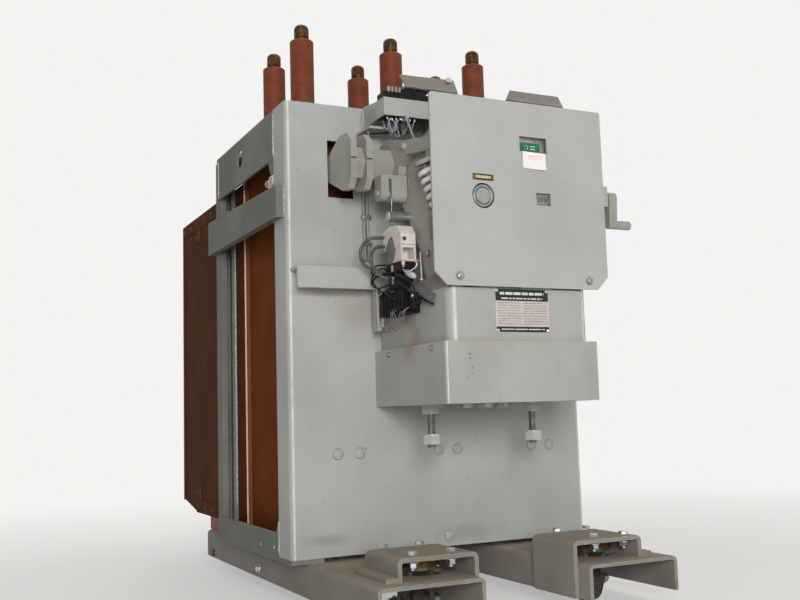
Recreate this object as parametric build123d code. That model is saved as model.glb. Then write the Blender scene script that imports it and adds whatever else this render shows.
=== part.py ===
from build123d import *
import os
from math import cos, radians, sin, tan

os.makedirs("parts", exist_ok=True)

# Draw-out air-magnetic circuit breaker on its own wheeled base.
# The front faces -Y, +Z is up, and "left" is the -X side. All sizes are in millimetres.
# The pieces are placed from the middle of the front plate's front face, on the floor, and then
# moved together, so that the finished origin is on the floor under the middle of the whole.

# Main frame
frame_width = 610.0
frame_depth = 449.0
frame_foot = 90.0
frame_top = 900.0
frame_sheet = 5.0
front_corner_radius = 10.0
front_return_depth = 64.0
half_width = frame_width / 2
inside_x = half_width - frame_sheet

# Opening in the front plate where the two crank plates pass through
crank_opening_left = -224.0
crank_opening_right = -173.0
crank_opening_bottom = 727.0
crank_opening_top = 833.0

# Side frame: band along the top, sill along the bottom, open between them
band_height = 92.0
band_bottom = frame_top - band_height
band_corner_y = 96.0
band_corner_drop = 30.0
band_tail_drop = 60.0
lifting_hole_radius = 20.0
lifting_hole_y = 280.0
lifting_hole_drop = 40.0
lifting_hole_z = frame_top - lifting_hole_drop
sill_top = 130.0
sill_corner_y = 80.0
sill_corner_rise = 22.0
sill_flange_width = 60.0
sill_flange_thickness = 8.0

# Rear uprights, lipped channels that open to the front
upright_width = 32.0
upright_depth = 40.0
upright_overlap = 13.0
upright_front = frame_depth - upright_overlap
upright_rear = upright_front + upright_depth
upright_sheet = 3.0
upright_outer_lip = 11.0
upright_inner_lip = 9.0
upright_drop = 5.0
upright_top = frame_top - upright_drop
tie_drop = 20.0

# Base rails, channels with the open side down
rail_top = frame_foot - sill_flange_thickness
rail_bottom = 25.0
rail_width = 181.0
rail_inset = 27.0
rail_outer = half_width - rail_inset
rail_inner = rail_outer - rail_width
rail_front = -294.0
rail_rear = 650.0
rail_sheet = 6.0
rail_corner_radius = 9.0

# Caster housings, hats that straddle the front of each rail
housing_height = 35.0
housing_top = rail_top + housing_height
housing_set_back = 32.0
housing_front = rail_front + housing_set_back
housing_length = 121.0
housing_rear = housing_front + housing_length
housing_sheet = 7.0
housing_inset = 48.0
housing_outer = rail_outer - housing_inset
housing_corner_radius = 10.0
housing_foot_width = 20.0
caster_left_inset = 62.0
caster_right_inset = 82.0
caster_set_back = 80.0
caster_left_x = -rail_inner - caster_left_inset
caster_right_x = rail_inner + caster_right_inset
caster_y = housing_front + caster_set_back

# Casters
race_radius = 39.0
race_plate_half_x = 40.0
race_plate_half_y = 58.0
race_plate_thickness = 4.0
race_thickness = 12.0
race_groove = 3.0
race_gap = 0.3
fork_plate_radius = 33.0
fork_plate_thickness = 6.0
fork_arm_thickness = 6.0
fork_arm_root = 19.0
fork_arm_eye = 13.0
wheel_radius = 35.0
wheel_width = 30.0
wheel_chamfer = 4.0
wheel_side_gap = 1.0
wheel_trail = 13.0
axle_radius = 6.0
axle_head = 3.0
axle_bore_gap = 0.05
fork_well_radius = 45.0

# Rear wheels, fixed on a plain axle under the rails
rear_axle_inset = 50.0
rear_axle_y = rail_rear - rear_axle_inset
rear_axle_radius = 8.0
rear_wheel_x = (rail_outer + rail_inner) / 2

# Bushings and their contact tips
bushing_radius = 24.0
bushing_pitch = 200.0
bushing_row_pitch = 174.0
bushing_front_y = 186.0
bushing_rear_y = bushing_front_y + bushing_row_pitch
bushing_top = 1090.0
bushing_length = 370.0
bushing_chamfer = 2.0
tip_radius = 15.0
tip_length = 36.0
tip_dome_radius = 11.0
tip_dome_steps = 3
bushing_plate_drop = 32.0
bushing_plate_bottom = frame_top - bushing_plate_drop
bushing_plate_thickness = 8.0

# Box barrier of laminate behind the frame, with strips and straps on its outside
laminate = 8.0
barrier_side_gap = 1.0
strip_width = 30.0
strip_thickness = 3.0
strap_width = 37.0
strap_from_rear = 125.0
strap_length = 62.0
barrier_outer = inside_x - upright_width - barrier_side_gap
barrier_overlap = 84.0
barrier_length = 547.0
barrier_front = frame_depth - barrier_overlap
barrier_rear = barrier_front + barrier_length
lower_member_height = 21.0
barrier_bottom = frame_foot + lower_member_height
barrier_drop = 66.0
barrier_top = frame_top - barrier_drop
barrier_cut_length = 130.0
barrier_cut_rise = 22.0
phase_barrier_thickness = 6.0
inner_barrier_thickness = 6.0
inner_barrier_overlap = 7.0
inner_barrier_drop = 28.0
inner_barrier_top = bushing_plate_bottom - inner_barrier_drop
front_board_y = 60.0
chute_gap = 4.0
chute_bottom = 190.0
chute_top_drop = 19.0
chute_slots = 14
chute_slot_width = 7.0
chute_slot_depth = 26.0
block_front = 575.0
block_length = 90.0
block_width = 40.0

# Cross bars that stand off outside the side frames
bar_stand_off = 14.0
bar_sheet = 4.0
bar_front = 11.0
bar_rear_inset = 4.0
bar_rear = upright_rear - bar_rear_inset
bar_front_bottom = 688.0
bar_front_top = 745.0
bar_rear_bottom = 690.0
bar_rear_top = 762.0

# Mechanism: side plates, boxes and front cover
box_left = -139.0
box_right = 157.0
plate_left_inset = 22.0
plate_right_inset = 21.0
plate_left_x = box_left + plate_left_inset
plate_right_x = box_right - plate_right_inset
plate_thickness = 6.0
lower_box_front = -268.0
lower_box_bottom = 347.0
lower_box_top = 446.0
lower_box_radius = 5.0
upper_box_inset = 13.0
upper_box_front = -262.0
upper_box_top = 533.0
upper_box_radius = 16.0
cover_left_overhang = 17.0
cover_right_overhang = 24.0
cover_left = box_left - cover_left_overhang
cover_right = box_right + cover_right_overhang
cover_corner = 5.0
cover_front = -274.0
cover_thickness = 4.0
cover_bottom = 534.0
cover_top = 848.0
cover_cut = 22.0
cover_flange_width = 25.0
cover_flange_top = 650.0

# Windows and holes in the cover
flag_window = (12.0, 67.0, 764.0, 790.0)
counter_window = (41.0, 70.0, 674.0, 695.0)
button_x = -61.7
button_z = 683.0
button_hole_radius = 21.0
button_radius = 13.0
button_length = 20.0
button_guide_radius = 25.0
button_guide_rear = -252.0
panel_front = -180.0
panel_thickness = 4.0
panel_bottom = 662.0
panel_top = 810.0
window_margin = 4.0
flag_gap = 4.0
flag_thickness = 2.0
flag_stem_radius = 4.0
counter_gap = 2.0

# Studs under the lower box
stud_x_left = -98.0
stud_x_right = 106.0
stud_y = -133.0
stud_radius = 7.0
stud_bottom = 275.0
stud_nut_radius = 14.5
stud_nut_height = 13.0
stud_lower_nut_z = 278.0

# Ledge angles on the front plate
ledge_inset = 6.0
ledge_outer_x = half_width - ledge_inset
ledge_depth = 38.0
ledge_bottom = 556.0
ledge_top = 594.0
ledge_sheet = 5.0

# Main crank, with the clevis arm that hangs from its hub
shaft_y = -62.0
shaft_z = 775.0
shaft_radius = 12.0
hub_across_corners = 31.0
crank_thickness = 11.0
crank_side_gap = 4.0
crank_pitch = 30.0
crank_left_x = crank_opening_left + crank_side_gap
crank_right_x = crank_left_x + crank_pitch
crank_round = 6.0
crank_outline = [
    (-100, 744), (-100, 810), (-85, 824), (-50, 828), (20, 797), (20, 762), (-60, 726), (-85, 724),
]
lever_gap = 2.0
lever_thickness = 15.0
lever_ear_radius = 50.0
lever_outline = [(-62, 820), (-236, 786), (-236, 764), (-140, 779), (-104, 762), (-86, 722), (-60, 740)]
lever_round = 9.0
clevis_left = -169.0
clevis_y = -97.0
clevis_z = 717.0
clevis_radius = 14.0
clevis_top = 748.0
clevis_slot = 6.0
clevis_bolt_radius = 5.0
clevis_bolt_stand_out = 5.0

# Opening spring
spring_radius = 26.0
spring_wire = 4.0
spring_sides = 6
spring_steps = 12
spring_pitch = 12.0
spring_cap_radius = 30.0
spring_cap_thickness = 7.0
spring_stem_radius = 7.0
spring_post_radius = 9.0
spring_top = (-122.0, -214.0, 746.0)
spring_bottom = (-63.0, -214.0, 590.0)

# Mechanism side plates, cut away in front for the spring and rounded to an ear behind
plate_ear_radius = 52.0
plate_rear = [
    (-70, 734), (-78, 712), (-101, 680), (-125, 650), (-150, 610), (-167, 565), (-179, upper_box_top),
]
plate_front = -182.0
plate_window = [
    (upper_box_front, 575), (plate_front, 625), (plate_front, 772), (-205, 790), (upper_box_front, 790),
]
plate_upper = [(upper_box_front, 846), (-207, 846), (-207, 812), (-150, 800), (-100, 812)]

# Roller and moulded latch block beside the left mechanism plate
roller_radius = 9.0
roller_length = 43.0
roller_y = -112.0
roller_z = 674.0
latch_left = -154.0
latch_right = -126.0
latch_front = -151.0
latch_outline = [(-151, 590), (-151, 638), (-138, 654), (-107, 656), (-80, 650), (-80, 622), (-118, 590)]
latch_corner = 5.0
latch_window = (-150.5, -130.0, 594.0, 614.0)
latch_window_depth = 24.0
latch_recess = [(-127, 601), (-109, 599), (-92, 616), (-104, 641)]
latch_recess_depth = 4.0
latch_foot_front = -140.0
latch_foot_rear = -120.0

# Terminal blocks on the left face of the upper box, with their bracket
terminal_bottom = 502.0
terminal_top = 542.0
terminal_left = -155.0
terminal_front = -160.0
terminal_step = -105.0
terminal_rear = -60.0
terminal_lower_top = 528.0
bracket_left = -152.0
bracket_width = 14.0
bracket_web = 12.0
bracket_bottom = 481.0
bracket_sheet = 3.0

# Shelf under the coupler
shelf_left = -166.0
shelf_depth = 60.0
shelf_bottom = 846.0
shelf_thickness = 4.0

# Interlock arm on its cross shaft
interlock_y = -120.0
interlock_z = 736.0
interlock_shaft_radius = 8.0
interlock_end_gap = 1.0
interlock_shaft_left = plate_left_x + interlock_end_gap
arm_left_x = half_width + interlock_end_gap
arm_width = 18.0
arm_eye = 12.0
arm_pin_radius = 8.5
arm_pin_length = 34.0
arm_pin_z = 685.0
bearing_width = 14.0
bearing_cover = 14.0
bearing_half_height = 20.0
bearing_gap = 0.05

# Coupler bracket and block
coupler_front = -110.0
coupler_left = -159.0
coupler_right = -20.0
coupler_bottom = 857.0
coupler_top = 889.0
coupler_sheet = 3.0
coupler_block_top = 901.0
coupler_block_depth = 31.0
coupler_block_bottom = 865.0
coupler_wing_front = -75.0
coupler_wing_x = -147.0
coupler_wing_bottom = 861.0
coupler_wing_top = 904.0

# Two bent flaps that stand on the front plate's top edge, their fronts leaning forward
flap_y = -104.0
flap_thickness = 4.0
flap_lean = 18.0
flap_left_outline = [(-110, 0), (-5, 0), (-9, 28), (-119, 25)]
flap_right_outline = [(99, 0), (228, 0), (222, 23), (113, 23)]
flap_webs = [(-110, -8), (113, 222)]
flap_rise = 15.0

# Control cables that loop from the latch block to its foot
cable_radius = 3.0
cable_upper = [
    (-154, -84, 641), (-166, -84, 641), (-178, -78, 640), (-188, -71, 631), (-193, -67, 618), (-192, -66, 604),
    (-186, -70, 592), (-174, -79, 584), (-160, -90, 580), (-149, -103, 579), (-149, -120, 579),
]
cable_lower = [
    (-154, -86, 625), (-165, -86, 625), (-175, -86, 620), (-181, -87, 610), (-182, -88, 598), (-178, -89, 587),
    (-171, -90, 577), (-162, -92, 570), (-152, -96, 566), (-145, -104, 565), (-143, -112, 565), (-143, -120, 565),
]
cable_share = 0.45
cable_sides = 12


# Step from the front plate to the finished origin
whole_left = -half_width - bar_stand_off
whole_right = arm_left_x + arm_width + arm_pin_length
origin_step = Pos(-(whole_left + whole_right) / 2, -(rail_front + barrier_rear) / 2, 0)


def block(x0, x1, y0, y1, z0, z1):
    """Box between two corners."""
    size = Box(x1 - x0, y1 - y0, z1 - z0)
    return Pos((x0 + x1) / 2, (y0 + y1) / 2, (z0 + z1) / 2) * size


def rod_x(x0, x1, y, z, radius):
    return Pos((x0 + x1) / 2, y, z) * Rot(0, 90, 0) * Cylinder(radius, x1 - x0)


def rod_y(y0, y1, x, z, radius):
    return Pos(x, (y0 + y1) / 2, z) * Rot(90, 0, 0) * Cylinder(radius, y1 - y0)


def rod_z(z0, z1, x, y, radius):
    return Pos(x, y, (z0 + z1) / 2) * Cylinder(radius, z1 - z0)


def plate_yz(outline, x0, x1, rounding=0):
    """Flat plate with its outline given as (y, z) points, from x0 to x1, its corners rounded."""
    face = make_face(Polyline(outline, close=True))
    if rounding:
        face = fillet(face.vertices(), rounding)
    return Plane.YZ.offset(x0) * extrude(face, amount=x1 - x0)


def mirror_x(shape):
    return mirror(shape, about=Plane.YZ)


def one(shape):
    """The single solid of a result that should be one piece."""
    solids = shape.solids()
    return solids[0] if len(solids) == 1 else Compound(solids)


def pair(shape):
    """A left piece and its mirror image."""
    return Compound([one(shape), one(mirror_x(shape))])


def save(shape, name):
    placed = origin_step * shape
    placed.label = name
    export_step(placed, f"parts/{name}.step")


def vertical_edges(shape, x, y):
    """Vertical edges at one corner of a box."""
    near = [e for e in shape.edges().filter_by(Axis.Z) if abs(e.center().X - x) < 0.01]
    return [e for e in near if abs(e.center().Y - y) < 0.01]


def long_edges(shape, x, z):
    """Edges along Y at one corner of a box."""
    near = [e for e in shape.edges().filter_by(Axis.Y) if abs(e.center().X - x) < 0.01]
    return [e for e in near if abs(e.center().Z - z) < 0.01]


# Front plate: one sheet with both sides folded back
outer = block(-half_width, half_width, 0, front_return_depth, frame_foot, frame_top)
corners = vertical_edges(outer, -half_width, 0) + vertical_edges(outer, half_width, 0)
outer = fillet(corners, front_corner_radius)
inner = block(-inside_x, inside_x, frame_sheet, front_return_depth + 1, frame_foot - 1, frame_top + 1)
corners = vertical_edges(inner, -inside_x, frame_sheet) + vertical_edges(inner, inside_x, frame_sheet)
inner = fillet(corners, front_corner_radius - frame_sheet)
crank_opening = block(crank_opening_left, crank_opening_right, -1, frame_sheet + 1,
                      crank_opening_bottom, crank_opening_top)
front_plate = outer - inner - crank_opening
save(one(front_plate), "front_plate")

# Top bands of the side frames
band_outline = [
    (front_return_depth, frame_top),
    (frame_depth, frame_top),
    (frame_depth, band_bottom),
    (band_corner_y, band_bottom),
    (sill_corner_y, band_bottom - band_corner_drop),
    (front_return_depth, band_bottom - band_tail_drop),
]
band = plate_yz(band_outline, -half_width, -inside_x)
band = band - rod_x(-half_width - 1, -inside_x + 1, lifting_hole_y, lifting_hole_z, lifting_hole_radius)
save(pair(band), "top_bands")

# Bottom sills: an angle on each side, its flange on the rail
sill_outline = [
    (front_return_depth, frame_foot),
    (front_return_depth, sill_top + sill_corner_rise),
    (sill_corner_y, sill_top),
    (frame_depth, sill_top),
    (frame_depth, frame_foot),
]
sill = plate_yz(sill_outline, -half_width, -inside_x)
sill = sill + block(-half_width, -half_width + sill_flange_width, 0, upright_rear, rail_top, frame_foot)
save(pair(sill), "sills")

# Rear uprights
upright_outer_x = -inside_x
upright_inner_x = upright_outer_x + upright_width
upright = block(upright_outer_x, upright_inner_x, upright_front, upright_rear, frame_foot, upright_top)
upright = upright - block(upright_outer_x + upright_sheet, upright_inner_x - upright_sheet,
                          upright_front + upright_sheet, upright_rear - upright_sheet,
                          frame_foot - 1, upright_top + 1)
upright = upright - block(upright_outer_x + upright_outer_lip, upright_inner_x - upright_inner_lip,
                          upright_front - 1, upright_front + upright_sheet + 1,
                          frame_foot - 1, upright_top + 1)
save(pair(upright), "rear_uprights")

# Cross members between the uprights
tie_x = -upright_inner_x
lower_tie = block(-tie_x, tie_x, upright_front, upright_rear, frame_foot, barrier_bottom)
upper_tie = block(-tie_x, tie_x, upright_front, upright_front + frame_sheet,
                  bushing_plate_bottom - tie_drop, upright_top)
upper_tie = upper_tie + block(-tie_x, tie_x, upright_front, upright_rear,
                              upright_top - frame_sheet, upright_top)
save(Compound([one(lower_tie), one(upper_tie)]), "cross_members")

# Base rails
def make_rail(caster_x):
    """Left rail, with the well that its caster fork turns in."""
    rail = block(-rail_outer, -rail_inner, rail_front, rail_rear, rail_bottom, rail_top)
    folds = long_edges(rail, -rail_outer, rail_top) + long_edges(rail, -rail_inner, rail_top)
    rail = fillet(folds, rail_corner_radius)
    hollow = block(-rail_outer + rail_sheet, -rail_inner - rail_sheet, rail_front - 1, rail_rear + 1,
                   rail_bottom - 1, rail_top - rail_sheet)
    folds = long_edges(hollow, -rail_outer + rail_sheet, rail_top - rail_sheet)
    folds = folds + long_edges(hollow, -rail_inner - rail_sheet, rail_top - rail_sheet)
    hollow = fillet(folds, rail_corner_radius - rail_sheet)
    well = rod_z(rail_bottom, rail_top + 1, caster_x, caster_y, fork_well_radius)
    axle_hole = rod_x(-rail_outer - 1, -rail_inner + 1, rear_axle_y, wheel_radius, rear_axle_radius)
    return rail - hollow - well - axle_hole


rail_left = make_rail(caster_left_x)
rail_right = mirror_x(make_rail(-caster_right_x))
save(one(rail_left), "base_rail_left")
save(one(rail_right), "base_rail_right")

# Caster housings
housing_inner = rail_inner - housing_sheet
housing = block(-housing_outer, -housing_inner, housing_front, housing_rear, rail_bottom, housing_top)
folds = long_edges(housing, -housing_outer, housing_top) + long_edges(housing, -housing_inner, housing_top)
housing = fillet(folds, housing_corner_radius)
hollow = block(-housing_outer + housing_sheet, -rail_inner, housing_front - 1, housing_rear + 1,
               rail_bottom - 1, housing_top - housing_sheet)
folds = long_edges(hollow, -housing_outer + housing_sheet, housing_top - housing_sheet)
folds = folds + long_edges(hollow, -rail_inner, housing_top - housing_sheet)
hollow = fillet(folds, housing_corner_radius - housing_sheet)
housing = housing - hollow
housing = housing - block(-housing_outer - 1, -rail_inner - 1, housing_front - 1, housing_rear + 1,
                          rail_bottom - 1, rail_top)
housing = housing + block(-housing_outer - housing_foot_width, -housing_outer, housing_front, housing_rear,
                          rail_top, rail_top + housing_sheet)
save(pair(housing), "caster_housings")

# Casters: race under the housing, fork that swivels, wheel on its axle
def make_wheel(x, y):
    """Cast wheel with the corners of its tread broken."""
    tread = rod_x(x - wheel_width / 2, x + wheel_width / 2, y, wheel_radius, wheel_radius)
    return chamfer(tread.edges().filter_by(GeomType.CIRCLE), wheel_chamfer)


race_top = housing_top - housing_sheet
race_bottom = race_top - race_plate_thickness - race_thickness
fork_top = race_bottom - race_gap
fork_plate_bottom = fork_top - fork_plate_thickness
race_profile = [
    (0, 0),
    (race_radius, 0),
    (race_radius - race_groove, race_thickness / 2),
    (race_radius, race_thickness),
    (0, race_thickness),
]
races = []
for side, caster_x in (("left", caster_left_x), ("right", caster_right_x)):
    race_plate = block(caster_x - race_plate_half_x, caster_x + race_plate_half_x,
                       caster_y - race_plate_half_y, caster_y + race_plate_half_y,
                       race_top - race_plate_thickness, race_top)
    ring = make_face(Polyline(race_profile, close=True))
    ring = Pos(caster_x, caster_y, race_bottom) * revolve(Plane.XZ * ring, axis=Axis.Z)
    races.append(one(race_plate + ring))
    axle_y = caster_y + wheel_trail
    arm_inner = wheel_width / 2 + wheel_side_gap
    arm_outer = arm_inner + fork_arm_thickness
    eye = Pos(axle_y, wheel_radius) * Circle(fork_arm_eye)
    root = Pos(caster_y, fork_plate_bottom) * Rectangle(2 * fork_arm_root, fork_plate_thickness)
    arm = extrude(make_hull(eye.edges() + root.edges()), fork_arm_thickness)
    fork = rod_z(fork_plate_bottom, fork_top, caster_x, caster_y, fork_plate_radius)
    fork = fork + Plane.YZ.offset(caster_x - arm_outer) * arm + Plane.YZ.offset(caster_x + arm_inner) * arm
    fork = fork + rod_x(caster_x - arm_outer - axle_head, caster_x + arm_outer + axle_head,
                        axle_y, wheel_radius, axle_radius)
    save(one(fork), f"caster_fork_{side}")
    bore_radius = axle_radius + axle_bore_gap
    bore = rod_x(caster_x - wheel_width, caster_x + wheel_width, axle_y, wheel_radius, bore_radius)
    save(one(make_wheel(caster_x, axle_y) - bore), f"caster_wheel_{side}")
save(Compound(races), "caster_races")

# Rear wheels on one axle through the rails
rear_wheels = rod_x(-rail_outer - axle_head, rail_outer + axle_head,
                    rear_axle_y, wheel_radius, rear_axle_radius)
for x in (-rear_wheel_x, rear_wheel_x):
    rear_wheels = rear_wheels + make_wheel(x, rear_axle_y)
save(one(rear_wheels), "rear_wheels")

# Bushing plate and bushings
bushing_plate = block(-inside_x, inside_x, front_corner_radius, upright_front, bushing_plate_bottom,
                      bushing_plate_bottom + bushing_plate_thickness)
tip_shoulder = tip_length - tip_dome_radius
tip_profile = [(0, 0), (tip_radius, 0)]
for step in range(tip_dome_steps):
    angle = radians(90 * step / tip_dome_steps)
    tip_profile.append((tip_radius * cos(angle), tip_shoulder + tip_dome_radius * sin(angle)))
tip_profile.append((0, tip_length))
tip = revolve(Plane.XZ * make_face(Polyline(tip_profile, close=True)), axis=Axis.Z)
tubes = {"front": [], "rear": []}
tips = []
for row, y in (("front", bushing_front_y), ("rear", bushing_rear_y)):
    for x in (-bushing_pitch, 0, bushing_pitch):
        tube = rod_z(bushing_top - bushing_length, bushing_top, x, y, bushing_radius)
        tubes[row].append(one(chamfer(tube.edges().group_by(Axis.Z)[-1], bushing_chamfer)))
        bushing_plate = bushing_plate - rod_z(bushing_plate_bottom - 1, bushing_top, x, y, bushing_radius)
        tips.append(one(Pos(x, y, bushing_top) * tip))
save(one(bushing_plate), "bushing_plate")
save(Compound(tubes["front"]), "bushings_front")
save(Compound(tubes["rear"]), "bushings_rear")
save(Compound(tips), "contact_tips")

# Box barrier
side_outline = [
    (barrier_front, barrier_bottom),
    (barrier_rear - barrier_cut_length, barrier_bottom),
    (barrier_rear - laminate, barrier_bottom + barrier_cut_rise),
    (barrier_rear - laminate, barrier_top),
    (barrier_front, barrier_top),
]
barrier_side = plate_yz(side_outline, -barrier_outer, -barrier_outer + laminate)
strip_x = -barrier_outer - strip_thickness
strip_end = barrier_rear - laminate
strap_rear = barrier_rear - strap_from_rear
barrier_side = barrier_side + block(strip_x, -barrier_outer, upright_rear, strip_end,
                                    barrier_top - strip_width, barrier_top)
barrier_side = barrier_side + block(strip_x, -barrier_outer, upright_rear, barrier_rear - barrier_cut_length,
                                    barrier_bottom, barrier_bottom + strip_width)
for z0, z1 in ((barrier_top - strap_length, barrier_top - strip_width),
               (barrier_bottom + strip_width, barrier_bottom + strap_length)):
    barrier_side = barrier_side + block(strip_x, -barrier_outer, strap_rear - strap_width, strap_rear, z0, z1)
save(pair(barrier_side), "barrier_sides")
barrier_back = block(-barrier_outer, barrier_outer, barrier_rear - laminate, barrier_rear,
                     barrier_bottom + barrier_cut_rise, barrier_top)
save(one(barrier_back), "barrier_back")
phase_outline = [
    (upright_rear, barrier_bottom),
    (barrier_rear - barrier_cut_length, barrier_bottom),
    (barrier_rear - laminate, barrier_bottom + barrier_cut_rise),
    (barrier_rear - laminate, barrier_top),
    (upright_rear, barrier_top),
]
half_phase = phase_barrier_thickness / 2
phase_barrier_x = bushing_pitch / 2
phase_left = plate_yz(phase_outline, -phase_barrier_x - half_phase, -phase_barrier_x + half_phase)
save(pair(phase_left), "phase_barriers")
inner_x = -barrier_outer + laminate
inner_barrier = block(inner_x, inner_x + inner_barrier_thickness,
                      frame_sheet, barrier_front + inner_barrier_overlap,
                      barrier_bottom, inner_barrier_top)
save(pair(inner_barrier), "inner_barriers")
board_x = inner_x + inner_barrier_thickness
front_board = block(board_x, -board_x, front_board_y, front_board_y + inner_barrier_thickness,
                    barrier_bottom, inner_barrier_top)
save(one(front_board), "inner_front_board")

# Arc chutes between the phase barriers, with a comb of slots across each top
chute_front = upright_rear + chute_gap
chute_top = barrier_top - chute_top_drop
slot_pitch = (barrier_rear - laminate - chute_front) / chute_slots
chute_walls = [inner_x, -phase_barrier_x - half_phase, -phase_barrier_x + half_phase]
chute_walls = chute_walls + [-wall for wall in reversed(chute_walls)]
chutes = []
for left, right in zip(chute_walls[0::2], chute_walls[1::2]):
    chute = block(left, right, chute_front, barrier_rear - laminate, chute_bottom, chute_top)
    for slot in range(chute_slots):
        slot_y = chute_front + (slot + 0.5) * slot_pitch
        chute = chute - block(left - 1, right + 1, slot_y - chute_slot_width / 2, slot_y + chute_slot_width / 2,
                              chute_top - chute_slot_depth, chute_top + 1)
    chutes.append(one(chute))
save(Compound(chutes), "arc_chutes")
foot = block(-barrier_outer, -barrier_outer + block_width, block_front, block_front + block_length,
             rail_top, barrier_bottom)
save(pair(foot), "insulating_blocks")

# Cross bars
bar_outer_x = -half_width - bar_stand_off
bar_outline = [
    (bar_front, bar_front_bottom),
    (bar_rear, bar_rear_bottom),
    (bar_rear, bar_rear_top),
    (bar_front, bar_front_top),
]
bar = plate_yz(bar_outline, bar_outer_x, -half_width)
bar_pocket_outline = [
    (bar_front + bar_sheet, bar_front_bottom + bar_sheet),
    (bar_rear + 1, bar_rear_bottom + bar_sheet),
    (bar_rear + 1, bar_rear_top - bar_sheet),
    (bar_front + bar_sheet, bar_front_top - bar_sheet),
]
bar = bar - plate_yz(bar_pocket_outline, bar_outer_x + bar_sheet, -half_width + 1)
bar = bar + block(bar_outer_x + 1, -inside_x, frame_depth, bar_rear, bar_rear_bottom, bar_rear_top)
save(pair(bar), "cross_bars")

# Mechanism side plates
plate_outline = plate_rear + [(upper_box_front, upper_box_top)] + plate_window + plate_upper
side_plate = plate_yz(plate_outline, plate_left_x, plate_left_x + plate_thickness)
ear = rod_x(plate_left_x, plate_left_x + plate_thickness, shaft_y, shaft_z, plate_ear_radius)
arm_to_frame = block(plate_left_x, plate_left_x + plate_thickness, shaft_y, 0,
                     shaft_z - plate_ear_radius / 2, shaft_z + plate_ear_radius / 2)
side_plate = side_plate + ear + arm_to_frame
interlock_hole = rod_x(-half_width, half_width, interlock_y, interlock_z, interlock_shaft_radius + bearing_gap)
side_plate = side_plate - interlock_hole
shaft_hole = rod_x(plate_left_x - 1, plate_left_x + plate_thickness + 1, shaft_y, shaft_z, shaft_radius)
shift = plate_right_x - plate_thickness - plate_left_x
save(Compound([one(side_plate - shaft_hole), one(Pos(shift, 0, 0) * side_plate)]), "mechanism_plates")

# Boxes under the mechanism
upper_box = block(box_left + upper_box_inset, box_right - upper_box_inset, upper_box_front, 0,
                  lower_box_top, upper_box_top)
upper_corners = vertical_edges(upper_box, box_left + upper_box_inset, upper_box_front)
upper_corners = upper_corners + vertical_edges(upper_box, box_right - upper_box_inset, upper_box_front)
upper_box = fillet(upper_corners, upper_box_radius)
save(one(upper_box), "upper_box")
lower_box = block(box_left, box_right, lower_box_front, 0, lower_box_bottom, lower_box_top)
lower_corners = vertical_edges(lower_box, box_left, lower_box_front)
lower_corners = lower_corners + vertical_edges(lower_box, box_right, lower_box_front)
lower_box = fillet(lower_corners, lower_box_radius)
save(one(lower_box), "lower_box")

# Front cover with its windows
cover_outline = [
    (cover_left, cover_top),
    (cover_right, cover_top),
    (cover_right, cover_bottom + cover_cut),
    (cover_right - cover_cut, cover_bottom),
    (cover_left + cover_cut, cover_bottom),
    (cover_left, cover_bottom + cover_cut),
]
cover_face = fillet(make_face(Polyline(cover_outline, close=True)).vertices(), cover_corner)
cover = Plane.XZ.offset(-cover_front - cover_thickness) * extrude(cover_face, cover_thickness)
for x0, x1, z0, z1 in (flag_window, counter_window):
    cover = cover - block(x0, x1, cover_front - 1, cover_front + cover_thickness + 1, z0, z1)
cover_back = cover_front + cover_thickness
cover = cover - rod_y(cover_front - 1, cover_back + 1, button_x, button_z, button_hole_radius)
for x0, x1 in ((plate_left_x, plate_left_x + cover_flange_width),
               (plate_right_x - cover_flange_width, plate_right_x)):
    cover = cover + block(x0, x1, cover_back, upper_box_front, cover_bottom + cover_thickness, cover_flange_top)
guide = rod_y(cover_back, button_guide_rear, button_x, button_z, button_guide_radius)
guide = guide - rod_y(cover_back - 1, button_guide_rear + 1, button_x, button_z, button_radius + bearing_gap)
cover = cover + guide
save(one(cover), "front_cover")

# Panel behind the cover that carries the indicator, counter and trip button
panel_left = plate_left_x + plate_thickness
panel_right = plate_right_x - plate_thickness
panel = block(panel_left, panel_right, panel_front, panel_front + panel_thickness, panel_bottom, panel_top)
save(one(panel), "indicator_panel")

# Position flag behind its window, on a stem from the panel
flag_x0, flag_x1, flag_z0, flag_z1 = flag_window
flag_front = cover_back + flag_gap
flag = block(flag_x0 - window_margin, flag_x1 + window_margin, flag_front, flag_front + flag_thickness,
             flag_z0 - window_margin, flag_z1 + window_margin)
flag_centre_x = (flag_x0 + flag_x1) / 2
flag_centre_z = (flag_z0 + flag_z1) / 2
flag = flag + rod_y(flag_front, panel_front, flag_centre_x, flag_centre_z, flag_stem_radius)
save(one(flag), "position_flag")

# Operation counter behind its window, fixed to the panel
count_x0, count_x1, count_z0, count_z1 = counter_window
counter = block(count_x0 - window_margin, count_x1 + window_margin, cover_back + counter_gap, panel_front,
                count_z0 - window_margin, count_z1 + window_margin)
save(one(counter), "operation_counter")

# Studs under the lower box
studs = []
for x in (stud_x_left, stud_x_right):
    stud = rod_z(stud_bottom, lower_box_bottom, x, stud_y, stud_radius)
    for z in (lower_box_bottom - stud_nut_height, stud_lower_nut_z):
        nut = Pos(x, stud_y, z) * extrude(RegularPolygon(stud_nut_radius, 6), amount=stud_nut_height)
        stud = stud + nut
    studs.append(one(stud))
save(Compound(studs), "box_studs")

# Ledges
ledge = block(-ledge_outer_x, box_left, -ledge_depth, 0, ledge_bottom, ledge_top)
ledge_right = block(box_right, ledge_outer_x, -ledge_depth, 0, ledge_bottom, ledge_top)
under_ledge = block(-half_width, half_width, -ledge_depth + ledge_sheet, 1,
                    ledge_bottom - 1, ledge_top - ledge_sheet)
save(Compound([one(ledge - under_ledge), one(ledge_right - under_ledge)]), "ledges")

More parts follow.
